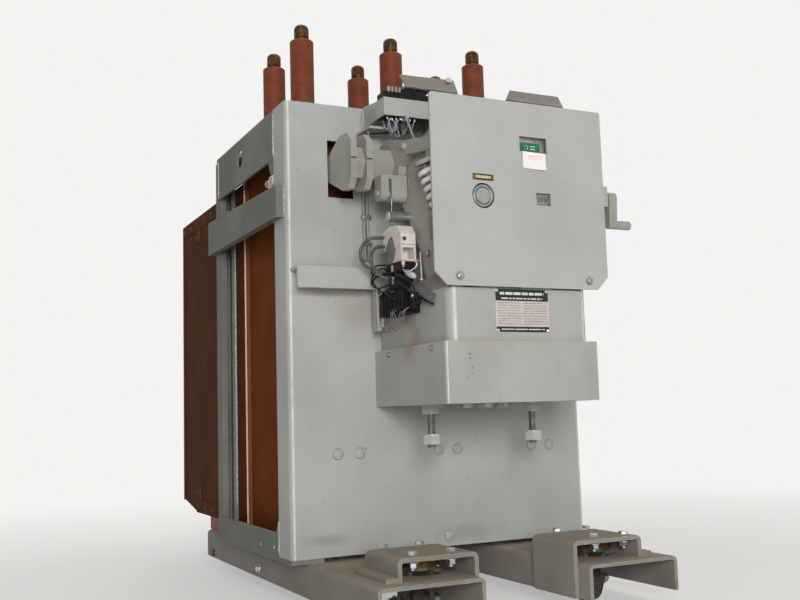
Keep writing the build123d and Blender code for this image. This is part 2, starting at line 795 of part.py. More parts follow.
# Main crank: two plates and the long lever on the hexagonal hub of the main shaft
crank = rod_x(crank_left_x, plate_left_x + plate_thickness, shaft_y, shaft_z, shaft_radius)
hub_face = Pos(shaft_y, shaft_z) * RegularPolygon(hub_across_corners, 6)
crank = crank + Plane.YZ.offset(crank_left_x) * extrude(hub_face, plate_left_x - lever_gap - crank_left_x)
for x in (crank_left_x, crank_right_x):
    crank = crank + plate_yz(crank_outline, x, x + crank_thickness, crank_round)

# The lever reaches forward over the spring and carries a clevis at its lower edge
lever_right = plate_left_x - lever_gap
lever_left = lever_right - lever_thickness
lever = plate_yz(lever_outline, lever_left, lever_right, lever_round)
lever = lever + rod_x(lever_left, lever_right, shaft_y, shaft_z, lever_ear_radius)
clevis = block(clevis_left, lever_right, clevis_y - clevis_radius, clevis_y + clevis_radius,
               clevis_z, clevis_top)
clevis = clevis + rod_x(clevis_left, lever_right, clevis_y, clevis_z, clevis_radius)
slot_x = (clevis_left + lever_left) / 2
clevis = clevis - block(slot_x - clevis_slot / 2, slot_x + clevis_slot / 2, clevis_y - 2 * clevis_radius,
                        clevis_y + 2 * clevis_radius, clevis_z - 2 * clevis_radius, clevis_top - clevis_slot)
clevis = clevis + rod_x(clevis_left - clevis_bolt_stand_out, lever_left, clevis_y, clevis_z, clevis_bolt_radius)
crank = crank + lever + clevis
save(one(crank), "main_crank")

# Opening spring between its caps
top = Vector(*spring_top)
bottom = Vector(*spring_bottom)
axis_dir = (bottom - top).normalized()
length = (bottom - top).length
spring_plane = Plane(origin=top, z_dir=axis_dir)
turns = length / spring_pitch
steps = round(turns * spring_steps)
coil_points = []
for step in range(steps + 1):
    turn = radians(360 * turns * step / steps)
    coil_points.append((spring_radius * cos(turn), spring_radius * sin(turn), length * step / steps))
coil = Polyline(coil_points)
section = Plane(origin=coil @ 0, z_dir=coil % 0) * RegularPolygon(spring_wire, spring_sides)
spring = spring_plane * sweep(section, path=coil, transition=Transition.RIGHT)
save(one(spring), "opening_spring")
cap_centre = spring_wire + spring_cap_thickness / 2
cap = spring_plane * Pos(0, 0, -cap_centre) * Cylinder(spring_cap_radius, spring_cap_thickness)
seat = spring_plane * Pos(0, 0, length + cap_centre) * Cylinder(spring_cap_radius, spring_cap_thickness)
stem = rod_z(cap.center().Z, shaft_z, (lever_left + lever_right) / 2, spring_top[1], spring_stem_radius) - crank
post = rod_z(upper_box_top, seat.center().Z, spring_bottom[0], spring_bottom[1], spring_post_radius)
save(Compound([one(cap + stem.solids().sort_by(Axis.Z)[0]), one(seat + post)]), "spring_caps")

# Interlock shaft, arm and pin
arm_right_x = arm_left_x + arm_width
shaft_eye = Pos(interlock_y, interlock_z) * Circle(arm_eye)
pin_eye = Pos(interlock_y, arm_pin_z) * Circle(arm_pin_radius)
arm = Plane.YZ.offset(arm_left_x) * extrude(make_hull(shaft_eye.edges() + pin_eye.edges()), arm_width)
arm = arm + rod_x(interlock_shaft_left, arm_right_x + axle_head,
                  interlock_y, interlock_z, interlock_shaft_radius)
arm = arm + rod_x(arm_right_x, arm_right_x + arm_pin_length, interlock_y, arm_pin_z, arm_pin_radius)
save(one(arm), "interlock_arm")
bearing = block(inside_x - bearing_width, inside_x, interlock_y - bearing_cover, 0,
                interlock_z - bearing_half_height, interlock_z + bearing_half_height)
save(one(bearing - interlock_hole), "interlock_bearing")

# Trip button
button = rod_y(cover_front + 1, cover_front + 1 + button_length, button_x, button_z, button_radius)
save(one(button), "trip_button")

# Coupler bracket, a strap whose left end flares back to the front plate, and its block
strap_line = [
    (coupler_wing_x, 0),
    (coupler_left + coupler_sheet / 2, coupler_wing_front),
    (coupler_left + coupler_sheet / 2, coupler_front + coupler_sheet / 2),
    (coupler_right - coupler_sheet / 2, coupler_front + coupler_sheet / 2),
    (coupler_right - coupler_sheet / 2, 0),
]
strap = extrude(trace(Polyline(strap_line), coupler_sheet), coupler_wing_top - coupler_bottom)
strap = Pos(0, 0, coupler_bottom) * strap
strap_outline = [
    (coupler_front - coupler_sheet, coupler_bottom),
    (coupler_wing_front, coupler_bottom),
    (0, coupler_wing_bottom),
    (0, coupler_wing_top),
    (coupler_wing_front, coupler_top),
    (coupler_front - coupler_sheet, coupler_top),
]
strap = strap & plate_yz(strap_outline, coupler_left - coupler_sheet, coupler_right + coupler_sheet)
save(one(strap), "coupler_bracket")
coupler = block(coupler_left + coupler_sheet, coupler_right - coupler_sheet, coupler_front + coupler_sheet,
                coupler_front + coupler_sheet + coupler_block_depth, coupler_block_bottom, coupler_block_top)
save(one(coupler), "coupler_block")
shelf = block(shelf_left, plate_left_x, -shelf_depth, 0, shelf_bottom, shelf_bottom + shelf_thickness)
save(one(shelf), "coupler_shelf")

# Roller on the left mechanism plate
roller = rod_x(plate_left_x - roller_length, plate_left_x, roller_y, roller_z, roller_radius)
save(one(chamfer(roller.edges().group_by(Axis.X)[0], 1.5)), "plate_roller")

# Moulded latch block, its window and recess, on a foot that stands on the terminal blocks
latch = plate_yz(latch_outline, latch_left, latch_right, latch_corner)
wx0, wx1, wz0, wz1 = latch_window
latch = latch - block(wx0, wx1, latch_front - 1, latch_front + latch_window_depth, wz0, wz1)
latch = latch - plate_yz(latch_recess, latch_left - 1, latch_left + latch_recess_depth, latch_corner)
save(one(latch), "latch_block")
terminal_right = box_left + upper_box_inset
terminals = block(terminal_left, terminal_right, terminal_front, terminal_step,
                  terminal_bottom, terminal_lower_top)
terminals = terminals + block(terminal_left, terminal_right, terminal_step, terminal_rear,
                              terminal_bottom, terminal_top)
terminals = terminals + block(latch_left, latch_right, latch_foot_front, latch_foot_rear,
                              terminal_lower_top - 1, latch_outline[0][1])
save(one(terminals), "terminal_blocks")
bracket_right = bracket_left + bracket_width
bracket = block(bracket_left, bracket_right, -ledge_depth, -ledge_depth + bracket_sheet,
                bracket_bottom, ledge_bottom)
bracket_rear = bracket_web - ledge_depth
bracket = bracket + block(bracket_left, bracket_left + bracket_sheet, -ledge_depth, bracket_rear,
                          bracket_bottom, ledge_bottom)
save(one(bracket), "terminal_bracket")

# Control cables: straight runs joined by arcs as large as the two runs at each corner allow
for name, route in (("control_cable_upper", cable_upper), ("control_cable_lower", cable_lower)):
    points = [Vector(*point) for point in route]
    radii = []
    for before, corner, after in zip(points, points[1:], points[2:]):
        turn = (corner - before).get_angle(after - corner)
        shorter = min((corner - before).length, (after - corner).length)
        radii.append(cable_share * shorter / tan(radians(turn / 2)))
    print(name, "bend radii", [round(radius, 1) for radius in radii])
    path = FilletPolyline(points, radius=radii)
    section = Plane(origin=path @ 0, z_dir=path % 0) * RegularPolygon(cable_radius, cable_sides)
    save(one(sweep(section, path=path)), name)

# Bent flaps that stand on the front plate's top edge
flaps = []
flap_base = frame_top + flap_rise
for outline, (web_left, web_right) in zip((flap_left_outline, flap_right_outline), flap_webs):
    face = make_face(Polyline(outline, close=True))
    flap = Plane.XZ * extrude(face, -flap_thickness)
    flap = Pos(0, flap_y, flap_base) * Rot(-flap_lean, 0, 0) * flap
    flap = flap + block(web_left, web_right, flap_y, frame_sheet, flap_base, flap_base + flap_thickness)
    flap = flap + block(web_left, web_right, 0, frame_sheet, frame_top, flap_base + flap_thickness)
    flaps.append(one(flap))
save(Compound(flaps), "top_flaps")
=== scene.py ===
import math
import random

import bmesh
import bpy
from mathutils import Matrix, Vector


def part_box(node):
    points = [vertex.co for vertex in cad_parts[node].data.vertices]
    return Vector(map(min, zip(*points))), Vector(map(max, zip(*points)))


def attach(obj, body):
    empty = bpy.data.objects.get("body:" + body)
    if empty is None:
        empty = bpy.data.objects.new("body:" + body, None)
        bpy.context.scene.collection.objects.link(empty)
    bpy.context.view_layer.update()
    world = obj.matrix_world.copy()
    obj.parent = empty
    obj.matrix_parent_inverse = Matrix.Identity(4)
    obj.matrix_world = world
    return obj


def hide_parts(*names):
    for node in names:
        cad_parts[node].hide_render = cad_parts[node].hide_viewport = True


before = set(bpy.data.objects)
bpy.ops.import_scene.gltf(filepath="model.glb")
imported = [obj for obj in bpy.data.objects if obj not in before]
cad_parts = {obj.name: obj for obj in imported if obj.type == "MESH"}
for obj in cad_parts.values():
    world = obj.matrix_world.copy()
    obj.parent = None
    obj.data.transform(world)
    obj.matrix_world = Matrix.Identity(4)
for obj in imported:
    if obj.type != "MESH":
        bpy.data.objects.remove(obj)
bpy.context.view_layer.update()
scene = bpy.context.scene

# Sizes and places on the breaker are in millimetres from the middle of the front plate's face,
# on the floor: x to the right as seen from the front, y towards the back, z up. The floor and
# the lamps are in metres.
MM = 0.001
plate_low, plate_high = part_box("front_plate")
PLATE_MIDDLE = Vector(((plate_low.x + plate_high.x) / 2, plate_low.y, 0.0))

UP = (0, 0, 1)
DOWN = (0, 0, -1)
LEFT = (-1, 0, 0)
RIGHT = (1, 0, 0)
FRONT = (0, -1, 0)
BACK = (0, 1, 0)


def at(x, y, z):
    """A point given from the front plate, in the frame's metres."""
    return PLATE_MIDDLE + Vector((x, y, z)) * MM


class Span:
    """Where a CAD node lies, in millimetres from the front plate."""

    def __init__(self, node):
        low, high = (((corner - PLATE_MIDDLE) / MM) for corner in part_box(node))
        self.left, self.front, self.bottom = low
        self.right, self.back, self.top = high


PLATE = Span("front_plate")
COVER = Span("front_cover")
UPPER_BOX = Span("upper_box")
LOWER_BOX = Span("lower_box")
LATCH = Span("latch_block")
TERMINALS = Span("terminal_blocks")
BARRIER = Span("barrier_sides")
BACK_BOARD = Span("barrier_back")
HOUSINGS = Span("caster_housings")
COUPLER = Span("coupler_block")
FLAG = Span("position_flag")
COUNTER = Span("operation_counter")
MECHANISM_PLATES = Span("mechanism_plates")


# Shader helpers


def linear(code):
    """Linear colour of an sRGB hex value."""
    values = [int(code[i : i + 2], 16) / 255 for i in (1, 3, 5)]
    return tuple(v / 12.92 if v <= 0.04045 else ((v + 0.055) / 1.055) ** 2.4 for v in values) + (1.0,)


def set_inputs(tree, node, inputs):
    """Links each input to the socket it is given, or sets it to the value."""
    for key, value in inputs.items():
        if isinstance(value, bpy.types.NodeSocket):
            tree.links.new(value, node.inputs[key])
        else:
            node.inputs[key].default_value = value


def put(tree, kind, inputs=None, **settings):
    """Adds a node with its settings, and sets or links its inputs."""
    made = tree.nodes.new(kind)
    for key, value in settings.items():
        setattr(made, key, value)
    set_inputs(tree, made, inputs or {})
    return made


def calculate(tree, operation, *values):
    """Result of one sum on values or sockets."""
    return put(tree, "ShaderNodeMath", dict(enumerate(values)), operation=operation).outputs[0]


def times(tree, a, b):
    """Product of two values, such as a share and its strength."""
    return calculate(tree, "MULTIPLY", a, b)


def vector_sum(tree, operation, *values, output="Vector"):
    """Result of one sum on vectors, such as their dot product."""
    made = put(tree, "ShaderNodeVectorMath", dict(enumerate(values)), operation=operation)
    return made.outputs[output]


def between(tree, value, low, high, to_low=0.0, to_high=1.0):
    """Value stretched from one range to another, held at the ends."""
    inputs = {"Value": value, "From Min": low, "From Max": high, "To Min": to_low, "To Max": to_high}
    return put(tree, "ShaderNodeMapRange", inputs).outputs[0]


def face_way(tree):
    """The way that the face under the ray looks."""
    return put(tree, "ShaderNodeNewGeometry").outputs["Normal"]


def way_part(tree, axis):
    """How far a face looks along an axis, either way."""
    parts = put(tree, "ShaderNodeSeparateXYZ", {0: face_way(tree)})
    return calculate(tree, "ABSOLUTE", parts.outputs[axis])


def edge_share(tree, width_mm):
    """1 along the edges of a piece, 0 on its flats."""
    flat, on_edge = 1.0, 0.88
    rounded = put(tree, "ShaderNodeBevel", {"Radius": width_mm * MM}, samples=4).outputs[0]
    turn = vector_sum(tree, "DOT_PRODUCT", face_way(tree), rounded, output="Value")
    return between(tree, turn, flat, on_edge)


def facing_share(tree, axis, low=0.6, high=0.95):
    """1 on faces that look along an axis, such as up, where dust lies."""
    along = vector_sum(tree, "DOT_PRODUCT", face_way(tree), axis, output="Value")
    return between(tree, along, low, high)


def bend_highlight_share(tree):
    """1 where a bend turns from a front face to a side, where the enamel gets a painted highlight."""
    begins, ends, still_front = (0.12, 0.3), (0.62, 0.4), (0.7, 0.8)
    across = way_part(tree, "X")
    on_bend = times(tree, between(tree, across, *begins), between(tree, across, *ends))
    return times(tree, on_bend, facing_share(tree, FRONT, *still_front))


# How noise is stretched: streaks run down the object, windings and brushing lie across it.
DOWN_WIDE = (1.0, 1.0, 0.4)
DOWN_BROAD = (1.0, 1.0, 0.25)
DOWN_LONG = (1.0, 1.0, 0.15)
DOWN_THIN = (1.0, 1.0, 0.06)
DOWN_SCRATCH = (1.0, 1.0, 0.05)
WOUND = (0.15, 0.15, 1.0)
BRUSHED = (0.05, 1.0, 1.0)


class Paint:
    """A material in the making: its node tree and the colour that it has so far."""

    def __init__(self, name):
        self.material = bpy.data.materials.new(name)
        self.material.use_nodes = True
        self.tree = self.material.node_tree
        self.tree.nodes.clear()
        self.place = put(self.tree, "ShaderNodeTexCoord").outputs["Object"]
        self.colour = None

    def noise(self, size_mm, detail=3.0, roughness=0.55, stretch=None):
        """Noise value with features of one real size, stretched along an axis if asked."""
        where = self.place
        if stretch:
            where = put(self.tree, "ShaderNodeMapping", {"Vector": where, "Scale": stretch}).outputs[0]
        scale = 1.0 / (size_mm * MM)
        inputs = {"Vector": where, "Scale": scale, "Detail": detail, "Roughness": roughness}
        return put(self.tree, "ShaderNodeTexNoise", inputs).outputs[0]

    def share(self, size_mm, span, reach=(0.0, 1.0), **pattern):
        """Noise whose values from one span are stretched to reach from one share to another."""
        return between(self.tree, self.noise(size_mm, **pattern), *span, *reach)

    def ground(self, share, dark, light):
        """The two colours that the material is clouded with."""
        self.colour = linear(dark)
        self.cover(share, light)

    def cover(self, share, tint):
        """Lays a tint over the colour so far, where the share is high."""
        made = put(self.tree, "ShaderNodeMix", data_type="RGBA")
        factor, under, over = 0, 6, 7
        set_inputs(self.tree, made, {factor: share, under: self.colour, over: linear(tint)})
        self.colour = made.outputs[2]

    def soil(self, tint, size_mm, span, strength, **pattern):
        """Lays a tint on in patches of one real size."""
        self.cover(self.share(size_mm, span, (0.0, strength), **pattern), tint)

    def stain(self, centre, reach, tint, strength):
        """Lays a tint on one place, its rim ragged."""
        outside, inside = 1.5, 0.75
        tree = self.tree
        moved = vector_sum(tree, "SUBTRACT", self.place, tuple(at(*centre)))
        scaled = vector_sum(tree, "MULTIPLY", moved, tuple(1.0 / (length * MM) for length in reach))
        distance = vector_sum(tree, "LENGTH", scaled, output="Value")
        ragged = self.noise(22, detail=5.0, roughness=0.7)
        near = between(tree, calculate(tree, "ADD", distance, ragged), outside, inside)
        self.cover(times(tree, near, strength), tint)

    def close(self, roughness, metallic=0.0, specular=0.5, bumps=()):
        """Joins colour, roughness and (height, millimetres) bumps in the surface shader."""
        inputs = {"Base Color": self.colour, "Roughness": roughness, "Metallic": metallic}
        inputs["Specular IOR Level"] = specular
        for height, depth_mm in bumps:
            bump = {"Height": height, "Distance": depth_mm * MM, "Strength": 1.0}
            if "Normal" in inputs:
                bump["Normal"] = inputs["Normal"]
            inputs["Normal"] = put(self.tree, "ShaderNodeBump", bump).outputs[0]
        shader = put(self.tree, "ShaderNodeBsdfPrincipled", inputs)
        put(self.tree, "ShaderNodeOutputMaterial", {"Surface": shader.outputs[0]})
        return self.material


# Materials

GRIME = "#85847B"
DRIED_RUNS = "#8C8375"
# Painted highlight: light colour laid on the bends from front face to side
PAINTED_BEND_HIGHLIGHT = "#DCDED8"
RUST_SPOT = "#6B4A33"
PRIMER = "#CCC1B5"
RUSTY_STEEL = "#6E4B34"
DUST = "#A59684"
BROWN_DUST = "#8A7B6A"


def enamel(name, light, dark, dust=0.75, wear=0.6, rust=0.5, streaks=0.7, stains=(), specular=0.2):
    """Alkyd machine enamel, sprayed on sheet steel: semi-gloss, faintly mottled, dusty on
    top, with a painted highlight on the bends, rubbed to primer along the edges, with small
    rust spots and the stains it is given."""
    rubbed_mm, bare_mm, clean_roughness, dusty_roughness = 1.4, 0.8, 0.46, 0.9
    paint = Paint(name)
    tree = paint.tree
    paint.ground(paint.share(160, (0.35, 0.65), detail=4.0), dark, light)
    paint.soil(GRIME, 40, (0.56, 0.78), 0.3 * streaks, detail=5.0, roughness=0.65, stretch=DOWN_BROAD)
    paint.soil(DRIED_RUNS, 26, (0.6, 0.8), 0.22 * streaks, detail=4.0, roughness=0.6, stretch=DOWN_THIN)
    for stain in stains:
        paint.stain(*stain)
    # Painted highlight on the bends, laid on in patches
    bend_highlight_patches = paint.share(30, (0.3, 0.6), (0.3, 0.75), detail=4.0)
    paint.cover(times(tree, bend_highlight_share(tree), bend_highlight_patches), PAINTED_BEND_HIGHLIGHT)
    paint.soil(RUST_SPOT, 9, (0.72, 0.77), rust, detail=2.0)
    broken = paint.share(14, (0.42, 0.6), detail=4.0, roughness=0.7)
    paint.cover(times(tree, times(tree, edge_share(tree, rubbed_mm), broken), wear), PRIMER)
    bare = paint.share(6, (0.6, 0.68), (0.0, wear), detail=4.0, roughness=0.7)
    paint.cover(times(tree, edge_share(tree, bare_mm), bare), RUSTY_STEEL)
    settled = paint.share(60, (0.3, 0.6), (0.45, 1.0), detail=5.0, roughness=0.6)
    dusty = times(tree, times(tree, facing_share(tree, UP), settled), dust)
    paint.cover(dusty, DUST)
    orange_peel = (paint.noise(2.2, detail=2.0), 0.05)
    dents = (paint.noise(70, detail=2.0), 0.6)
    roughness = between(tree, dusty, 0.0, 1.0, clean_roughness, dusty_roughness)
    return paint.close(roughness, specular=specular, bumps=(orange_peel, dents))


def tube_phenolic(name, light, dark):
    """Paper-wound phenolic tube under insulating varnish: satin, with faint turns of the
    winding round it and handling marks."""
    paint = Paint(name)
    turns = paint.noise(3.0, detail=1.0, roughness=0.5, stretch=WOUND)
    paint.ground(paint.share(35, (0.35, 0.7), detail=4.0), dark, light)
    paint.cover(between(paint.tree, turns, 0.4, 0.75, 0.0, 0.18), "#9A5539")
    paint.soil("#5A3326", 12, (0.6, 0.75), 0.35, detail=5.0, roughness=0.7, stretch=DOWN_WIDE)
    paint.cover(times(paint.tree, edge_share(paint.tree, 1.0), 0.35), "#A8755D")
    return paint.close(0.5, specular=0.15, bumps=((turns, 0.08),))


def bare_metal(name, light, dark, roughness, grain_mm=6.0, stain="#5B4632", stained=0.3):
    """Bare or plated metal, its finish clouded by handling and old grease."""
    paint = Paint(name)
    cloud = paint.share(grain_mm, (0.3, 0.7), detail=4.0, roughness=0.6)
    paint.ground(cloud, dark, light)
    paint.soil(stain, grain_mm * 2.5, (0.5, 0.7), stained, detail=4.0, roughness=0.65)
    shine = between(paint.tree, cloud, 0.0, 1.0, roughness + 0.12, roughness)
    return paint.close(shine, metallic=1.0, bumps=((paint.noise(0.9, detail=2.0), 0.03),))


def board(name, light, dark, edge, sheet_axis, gloss=0.4):
    """Varnished laminate board, pressed from sheets: brown and mottled on its faces, with
    its pale layers showing where it was sawn."""
    paint = Paint(name)
    paint.ground(paint.share(90, (0.15, 0.85), detail=5.0, roughness=0.6), dark, light)
    paint.soil(dark, 30, (0.5, 0.8), 0.4, detail=4.0, roughness=0.65, stretch=DOWN_LONG)
    paint.soil(edge, 5, (0.66, 0.74), 0.25, detail=4.0, roughness=0.6, stretch=DOWN_SCRATCH)
    sawn = between(paint.tree, way_part(paint.tree, sheet_axis), 0.6, 0.4)
    layers = paint.share(1.6, (0.3, 0.7), (0.7, 1.0), detail=2.0)
    paint.cover(times(paint.tree, sawn, layers), edge)
    roughness = between(paint.tree, sawn, 0.0, 1.0, gloss, 0.8)
    return paint.close(roughness, specular=0.002, bumps=((paint.noise(4.0), 0.06),))


def moulding(name, light, dark, roughness=0.5, mark="#3A2F28", marked=0.15, dust=0.12, specular=0.3):
    """Moulded insulation, such as phenolic or polyester: even, satin, a little soiled."""
    paint = Paint(name)
    paint.ground(paint.share(18, (0.35, 0.65)), dark, light)
    paint.soil(mark, 7, (0.58, 0.75), marked, detail=4.0, roughness=0.7)
    paint.cover(times(paint.tree, facing_share(paint.tree, UP), dust), BROWN_DUST)
    return paint.close(roughness, specular=specular, bumps=((paint.noise(1.2, detail=2.0), 0.03),))


def greasy(name, light, dark, roughness=0.45):
    """Old grease and rust on steel that turns: brown, wet in places."""
    paint = Paint(name)
    paint.ground(paint.share(12, (0.35, 0.68), detail=5.0, roughness=0.65), dark, light)
    wet = paint.share(8, (0.4, 0.6), (roughness - 0.15, roughness + 0.3))
    return paint.close(wet, metallic=0.35, bumps=((paint.noise(3.0, detail=4.0), 0.25),))


def etched_plate(name, light, dark, roughness, metallic):
    """Thin sheet aluminium or brass for a plate, its ground brushed and a little tarnished."""
    paint = Paint(name)
    brushed = paint.noise(2.0, roughness=0.6, stretch=BRUSHED)
    paint.ground(between(paint.tree, brushed, 0.35, 0.65), dark, light)
    paint.soil("#6A5A48", 14, (0.55, 0.75), 0.35, detail=4.0, roughness=0.7)
    return paint.close(roughness, metallic=metallic, bumps=((brushed, 0.02),))


def card(name, light, dark):
    """Uncoated card with a soft fibre grain, a little yellowed."""
    paint = Paint(name)
    fibres = paint.share(3.0, (0.35, 0.65), detail=5.0, roughness=0.7)
    paint.ground(fibres, dark, light)
    return paint.close(0.85, bumps=((fibres, 0.03),))


def weld_metal(name, light, dark):
    """Brush-painted weld bead: the enamel over it is thin and chipped bright at the ripples."""
    paint = Paint(name)
    paint.ground(paint.share(5.0, (0.5, 0.62), detail=4.0, roughness=0.7), dark, light)
    return paint.close(0.5, bumps=((paint.noise(3.0), 0.3),))


# Stains that the front of the breaker shows, as (centre, reach, tint, strength)
PLATE_STAINS = (
    ((-225, 0, 551), (80, 30, 8), "#8A6F57", 0.55),
    ((-170, 0, 520), (50, 30, 40), "#9B8A76", 0.45),
    ((-235, 0, 118), (55, 30, 14), "#7C7C76", 0.4),
    ((40, 0, 112), (90, 30, 22), "#8F8B82", 0.5),
    ((-160, 0, 330), (120, 30, 110), "#9A9B95", 0.35),
)
BOX_STAINS = (
    ((-139, -140, 452), (30, 34, 40), "#8B6A50", 0.55),
    ((-126, -110, 500), (30, 40, 30), "#7E5F47", 0.5),
    ((-96, -268, 425), (3.0, 12, 1.4), "#3C3733", 0.9),
    ((-105, -268, 417), (2.6, 12, 1.2), "#55504A", 0.6),
    ((-95, -268, 418), (2.4, 12, 1.6), "#3C3733", 0.9),
    ((-91, -268, 403), (1.3, 12, 3.4), "#3C3733", 0.8),
    ((-91, -268, 395), (1.5, 12, 1.5), "#3C3733", 0.8),
    ((-99, -268, 388), (1.1, 12, 3.0), "#55504A", 0.7),
    ((-40, -268, 440), (180, 12, 8), "#A79C8C", 0.35),
)

GREY_ENAMEL = enamel("grey_enamel_on_steel", "#ADAEA9", "#A1A29D", stains=PLATE_STAINS)
BOX_ENAMEL = enamel("grey_enamel_on_boxes", "#A6A7A1", "#9B9C96", wear=0.5, rust=0.3, stains=BOX_STAINS)
COVER_ENAMEL = enamel("grey_enamel_on_cover", "#ABADA8", "#A2A4A0", wear=0.45, rust=0.2, streaks=0.3)
# Darker copy of the grey enamel for the side frames: partly dirt, partly painted shade on faces that look to
# the side
SIDE_ENAMEL_DIRT_AND_SHADE = enamel("grey_enamel_on_side_frames_dirt_and_painted_shade", "#80807A", "#6F6F69", wear=0.8, rust=0.6, specular=0.03)
# Darker, browner enamel of the base rails, housings and flaps: wear and dirt, and partly painted shade where
# less light reaches
FRAME_ENAMEL_WORN_AND_SHADE = enamel("grey_enamel_worn_dirt_and_painted_shade", "#8F8C83", "#7D7A70", dust=0.9, wear=0.9, rust=0.8, specular=0.05)
MECHANISM_ENAMEL = enamel("grey_enamel_on_mechanism", "#A3A299", "#8E8D84", dust=0.6, wear=1.0)
NUT_ENAMEL = enamel("grey_enamel_on_nuts", "#B0B0AA", "#A2A39D", wear=0.4, rust=0.3, streaks=0.2)
SPRING_PAINT = enamel("off_white_spring_enamel", "#EFEDE8", "#DEDBD4", dust=0.12, wear=0.2, rust=0.3)
# Pale weld paint, also laid as painted highlight strips on the rear uprights' inner edges
WELD_AND_EDGE_HIGHLIGHT = weld_metal("painted_weld_bead_and_edge_highlight", "#D6D5CE", "#A3A39B")

ZINC = bare_metal("zinc_plated_steel", "#D4D6D8", "#A6A9AC", 0.3, 7.0, "#7A6A52", 0.15)
DULL_ZINC = bare_metal("dull_zinc_plate", "#A9A9A4", "#84847E", 0.42, 9.0, "#6B5B47")
BRASS = bare_metal("brass", "#B08D4F", "#7C6134", 0.35, stained=0.4)
DARK_BRASS = bare_metal("dark_brass", "#7A5B33", "#4A3820", 0.45, stained=0.5)
TIP = bare_metal("tarnished_bronze", "#6B4C2C", "#2A1F16", 0.42, 11.0, "#2B2019", 0.6)
RACE = greasy("greasy_caster_race", "#8C5F2E", "#4A2F17")
FORK = greasy("olive_caster_fork", "#6E6A54", "#37352A", 0.5)
# Dark greasy iron of the wheels, also used for the painted shade line under the front plate
WHEEL_IRON_AND_SHADE = greasy("iron_caster_wheel_and_painted_shade", "#4C463E", "#28241F", 0.55)

BUSHING = tube_phenolic("varnished_phenolic_tube", "#7F412C", "#683322")
BARRIER_SIDE = board("brown_laminate_sides", "#63402B", "#4A2C1D", "#7A5038", "X")
BARRIER_BACK = board("brown_laminate_back", "#63402B", "#4A2C1D", "#A98566", "Y")
BATTEN = board("brown_laminate_battens", "#7B5236", "#5F3B26", "#A98566", "Y")
INNER_BOARD = board("orange_brown_laminate", "#814825", "#66371C", "#6E3F24", "X", 0.35)
FRONT_BOARD = board("orange_brown_laminate_front", "#7E4326", "#60321D", "#6E3F24", "Y", 0.35)
CHUTE_BOARD = board("grey_chute_board", "#8B8478", "#746D62", "#9A9387", "Z", 0.8)

RED_BLOCK = moulding("red_polyester_block", "#8E3B2B", "#6E2C21", 0.55)
CREAM = moulding("cream_polyester", "#D9D0C9", "#CBC0B7", 0.42, "#8F7A68", 0.25)
# Black phenolic of the blocks, also used as painted shade at the bottom of the trip button's hole
BLACK_PHENOLIC_AND_SHADE = moulding("black_phenolic_and_painted_shade", "#211F1E", "#141313", 0.45, "#4A443C", 0.25, 0.04, 0.1)
CAM_GREY = moulding("grey_phenolic", "#70716E", "#60615E")
BUTTON_GREY = moulding("grey_button_moulding", "#9C9D99", "#8B8C88", 0.45)
MILKY = moulding("milky_nylon_connector", "#C4C5C2", "#A5A6A3", 0.35)
# Sawn laminate edge painted paler than its own colour: partly painted highlight
SAWN_EDGE_HIGHLIGHT = moulding("sawn_laminate_edge_with_painted_highlight", "#F2CDB6", "#E0B196", 0.7)
HEAD_PAINT = moulding("grey_paint_on_bolt_heads", "#A8A9A4", "#9C9D98", 0.46, DRIED_RUNS, 0.2)
CONDUIT_PAINT = moulding("painted_conduit", "#8E8F8B", "#7B7C78")
BLACK_PVC = moulding("black_pvc_sheath", "#242425", "#161617", 0.4, specular=0.15)
GREY_PVC = moulding("grey_pvc_sheath", "#7E7F7E", "#636464", 0.4)
PALE_PVC = moulding("pale_grey_pvc_sheath", "#9FA0A0", "#838484", 0.4)
CABLE_SHEATH = moulding("dark_grey_cable_sheath", "#545553", "#40413F", 0.42)

ALUMINIUM_PLATE = etched_plate("etched_aluminium_plate", "#C6C0BA", "#B2ABA5", 0.45, 0.35)
PLATE_BLACK = etched_plate("black_anodised_ground", "#1C1B1A", "#121212", 0.4, 0.2)
PLATE_BRASS = etched_plate("tarnished_brass_plate", "#A8905A", "#7B6437", 0.4, 0.8)
GREEN = moulding("green_flag_enamel", "#15704A", "#0F5F3D", 0.45, "#0A3D28", 0.2)
WHITE_INK = moulding("white_enamel_fill", "#D5D8D0", "#C2C6BD")
IVORY_FILL = moulding("ivory_enamel_fill", "#D9CDA6", "#C4B68C")
ETCHED_INK = card("etched_brown_fill", "#9A8A84", "#8A7A74")
TAG_CARD = card("white_tag_card", "#EEEAE7", "#E3DDD9")
FAINT_INK = card("faded_red_ink", "#E0C3BD", "#D6B5AE")

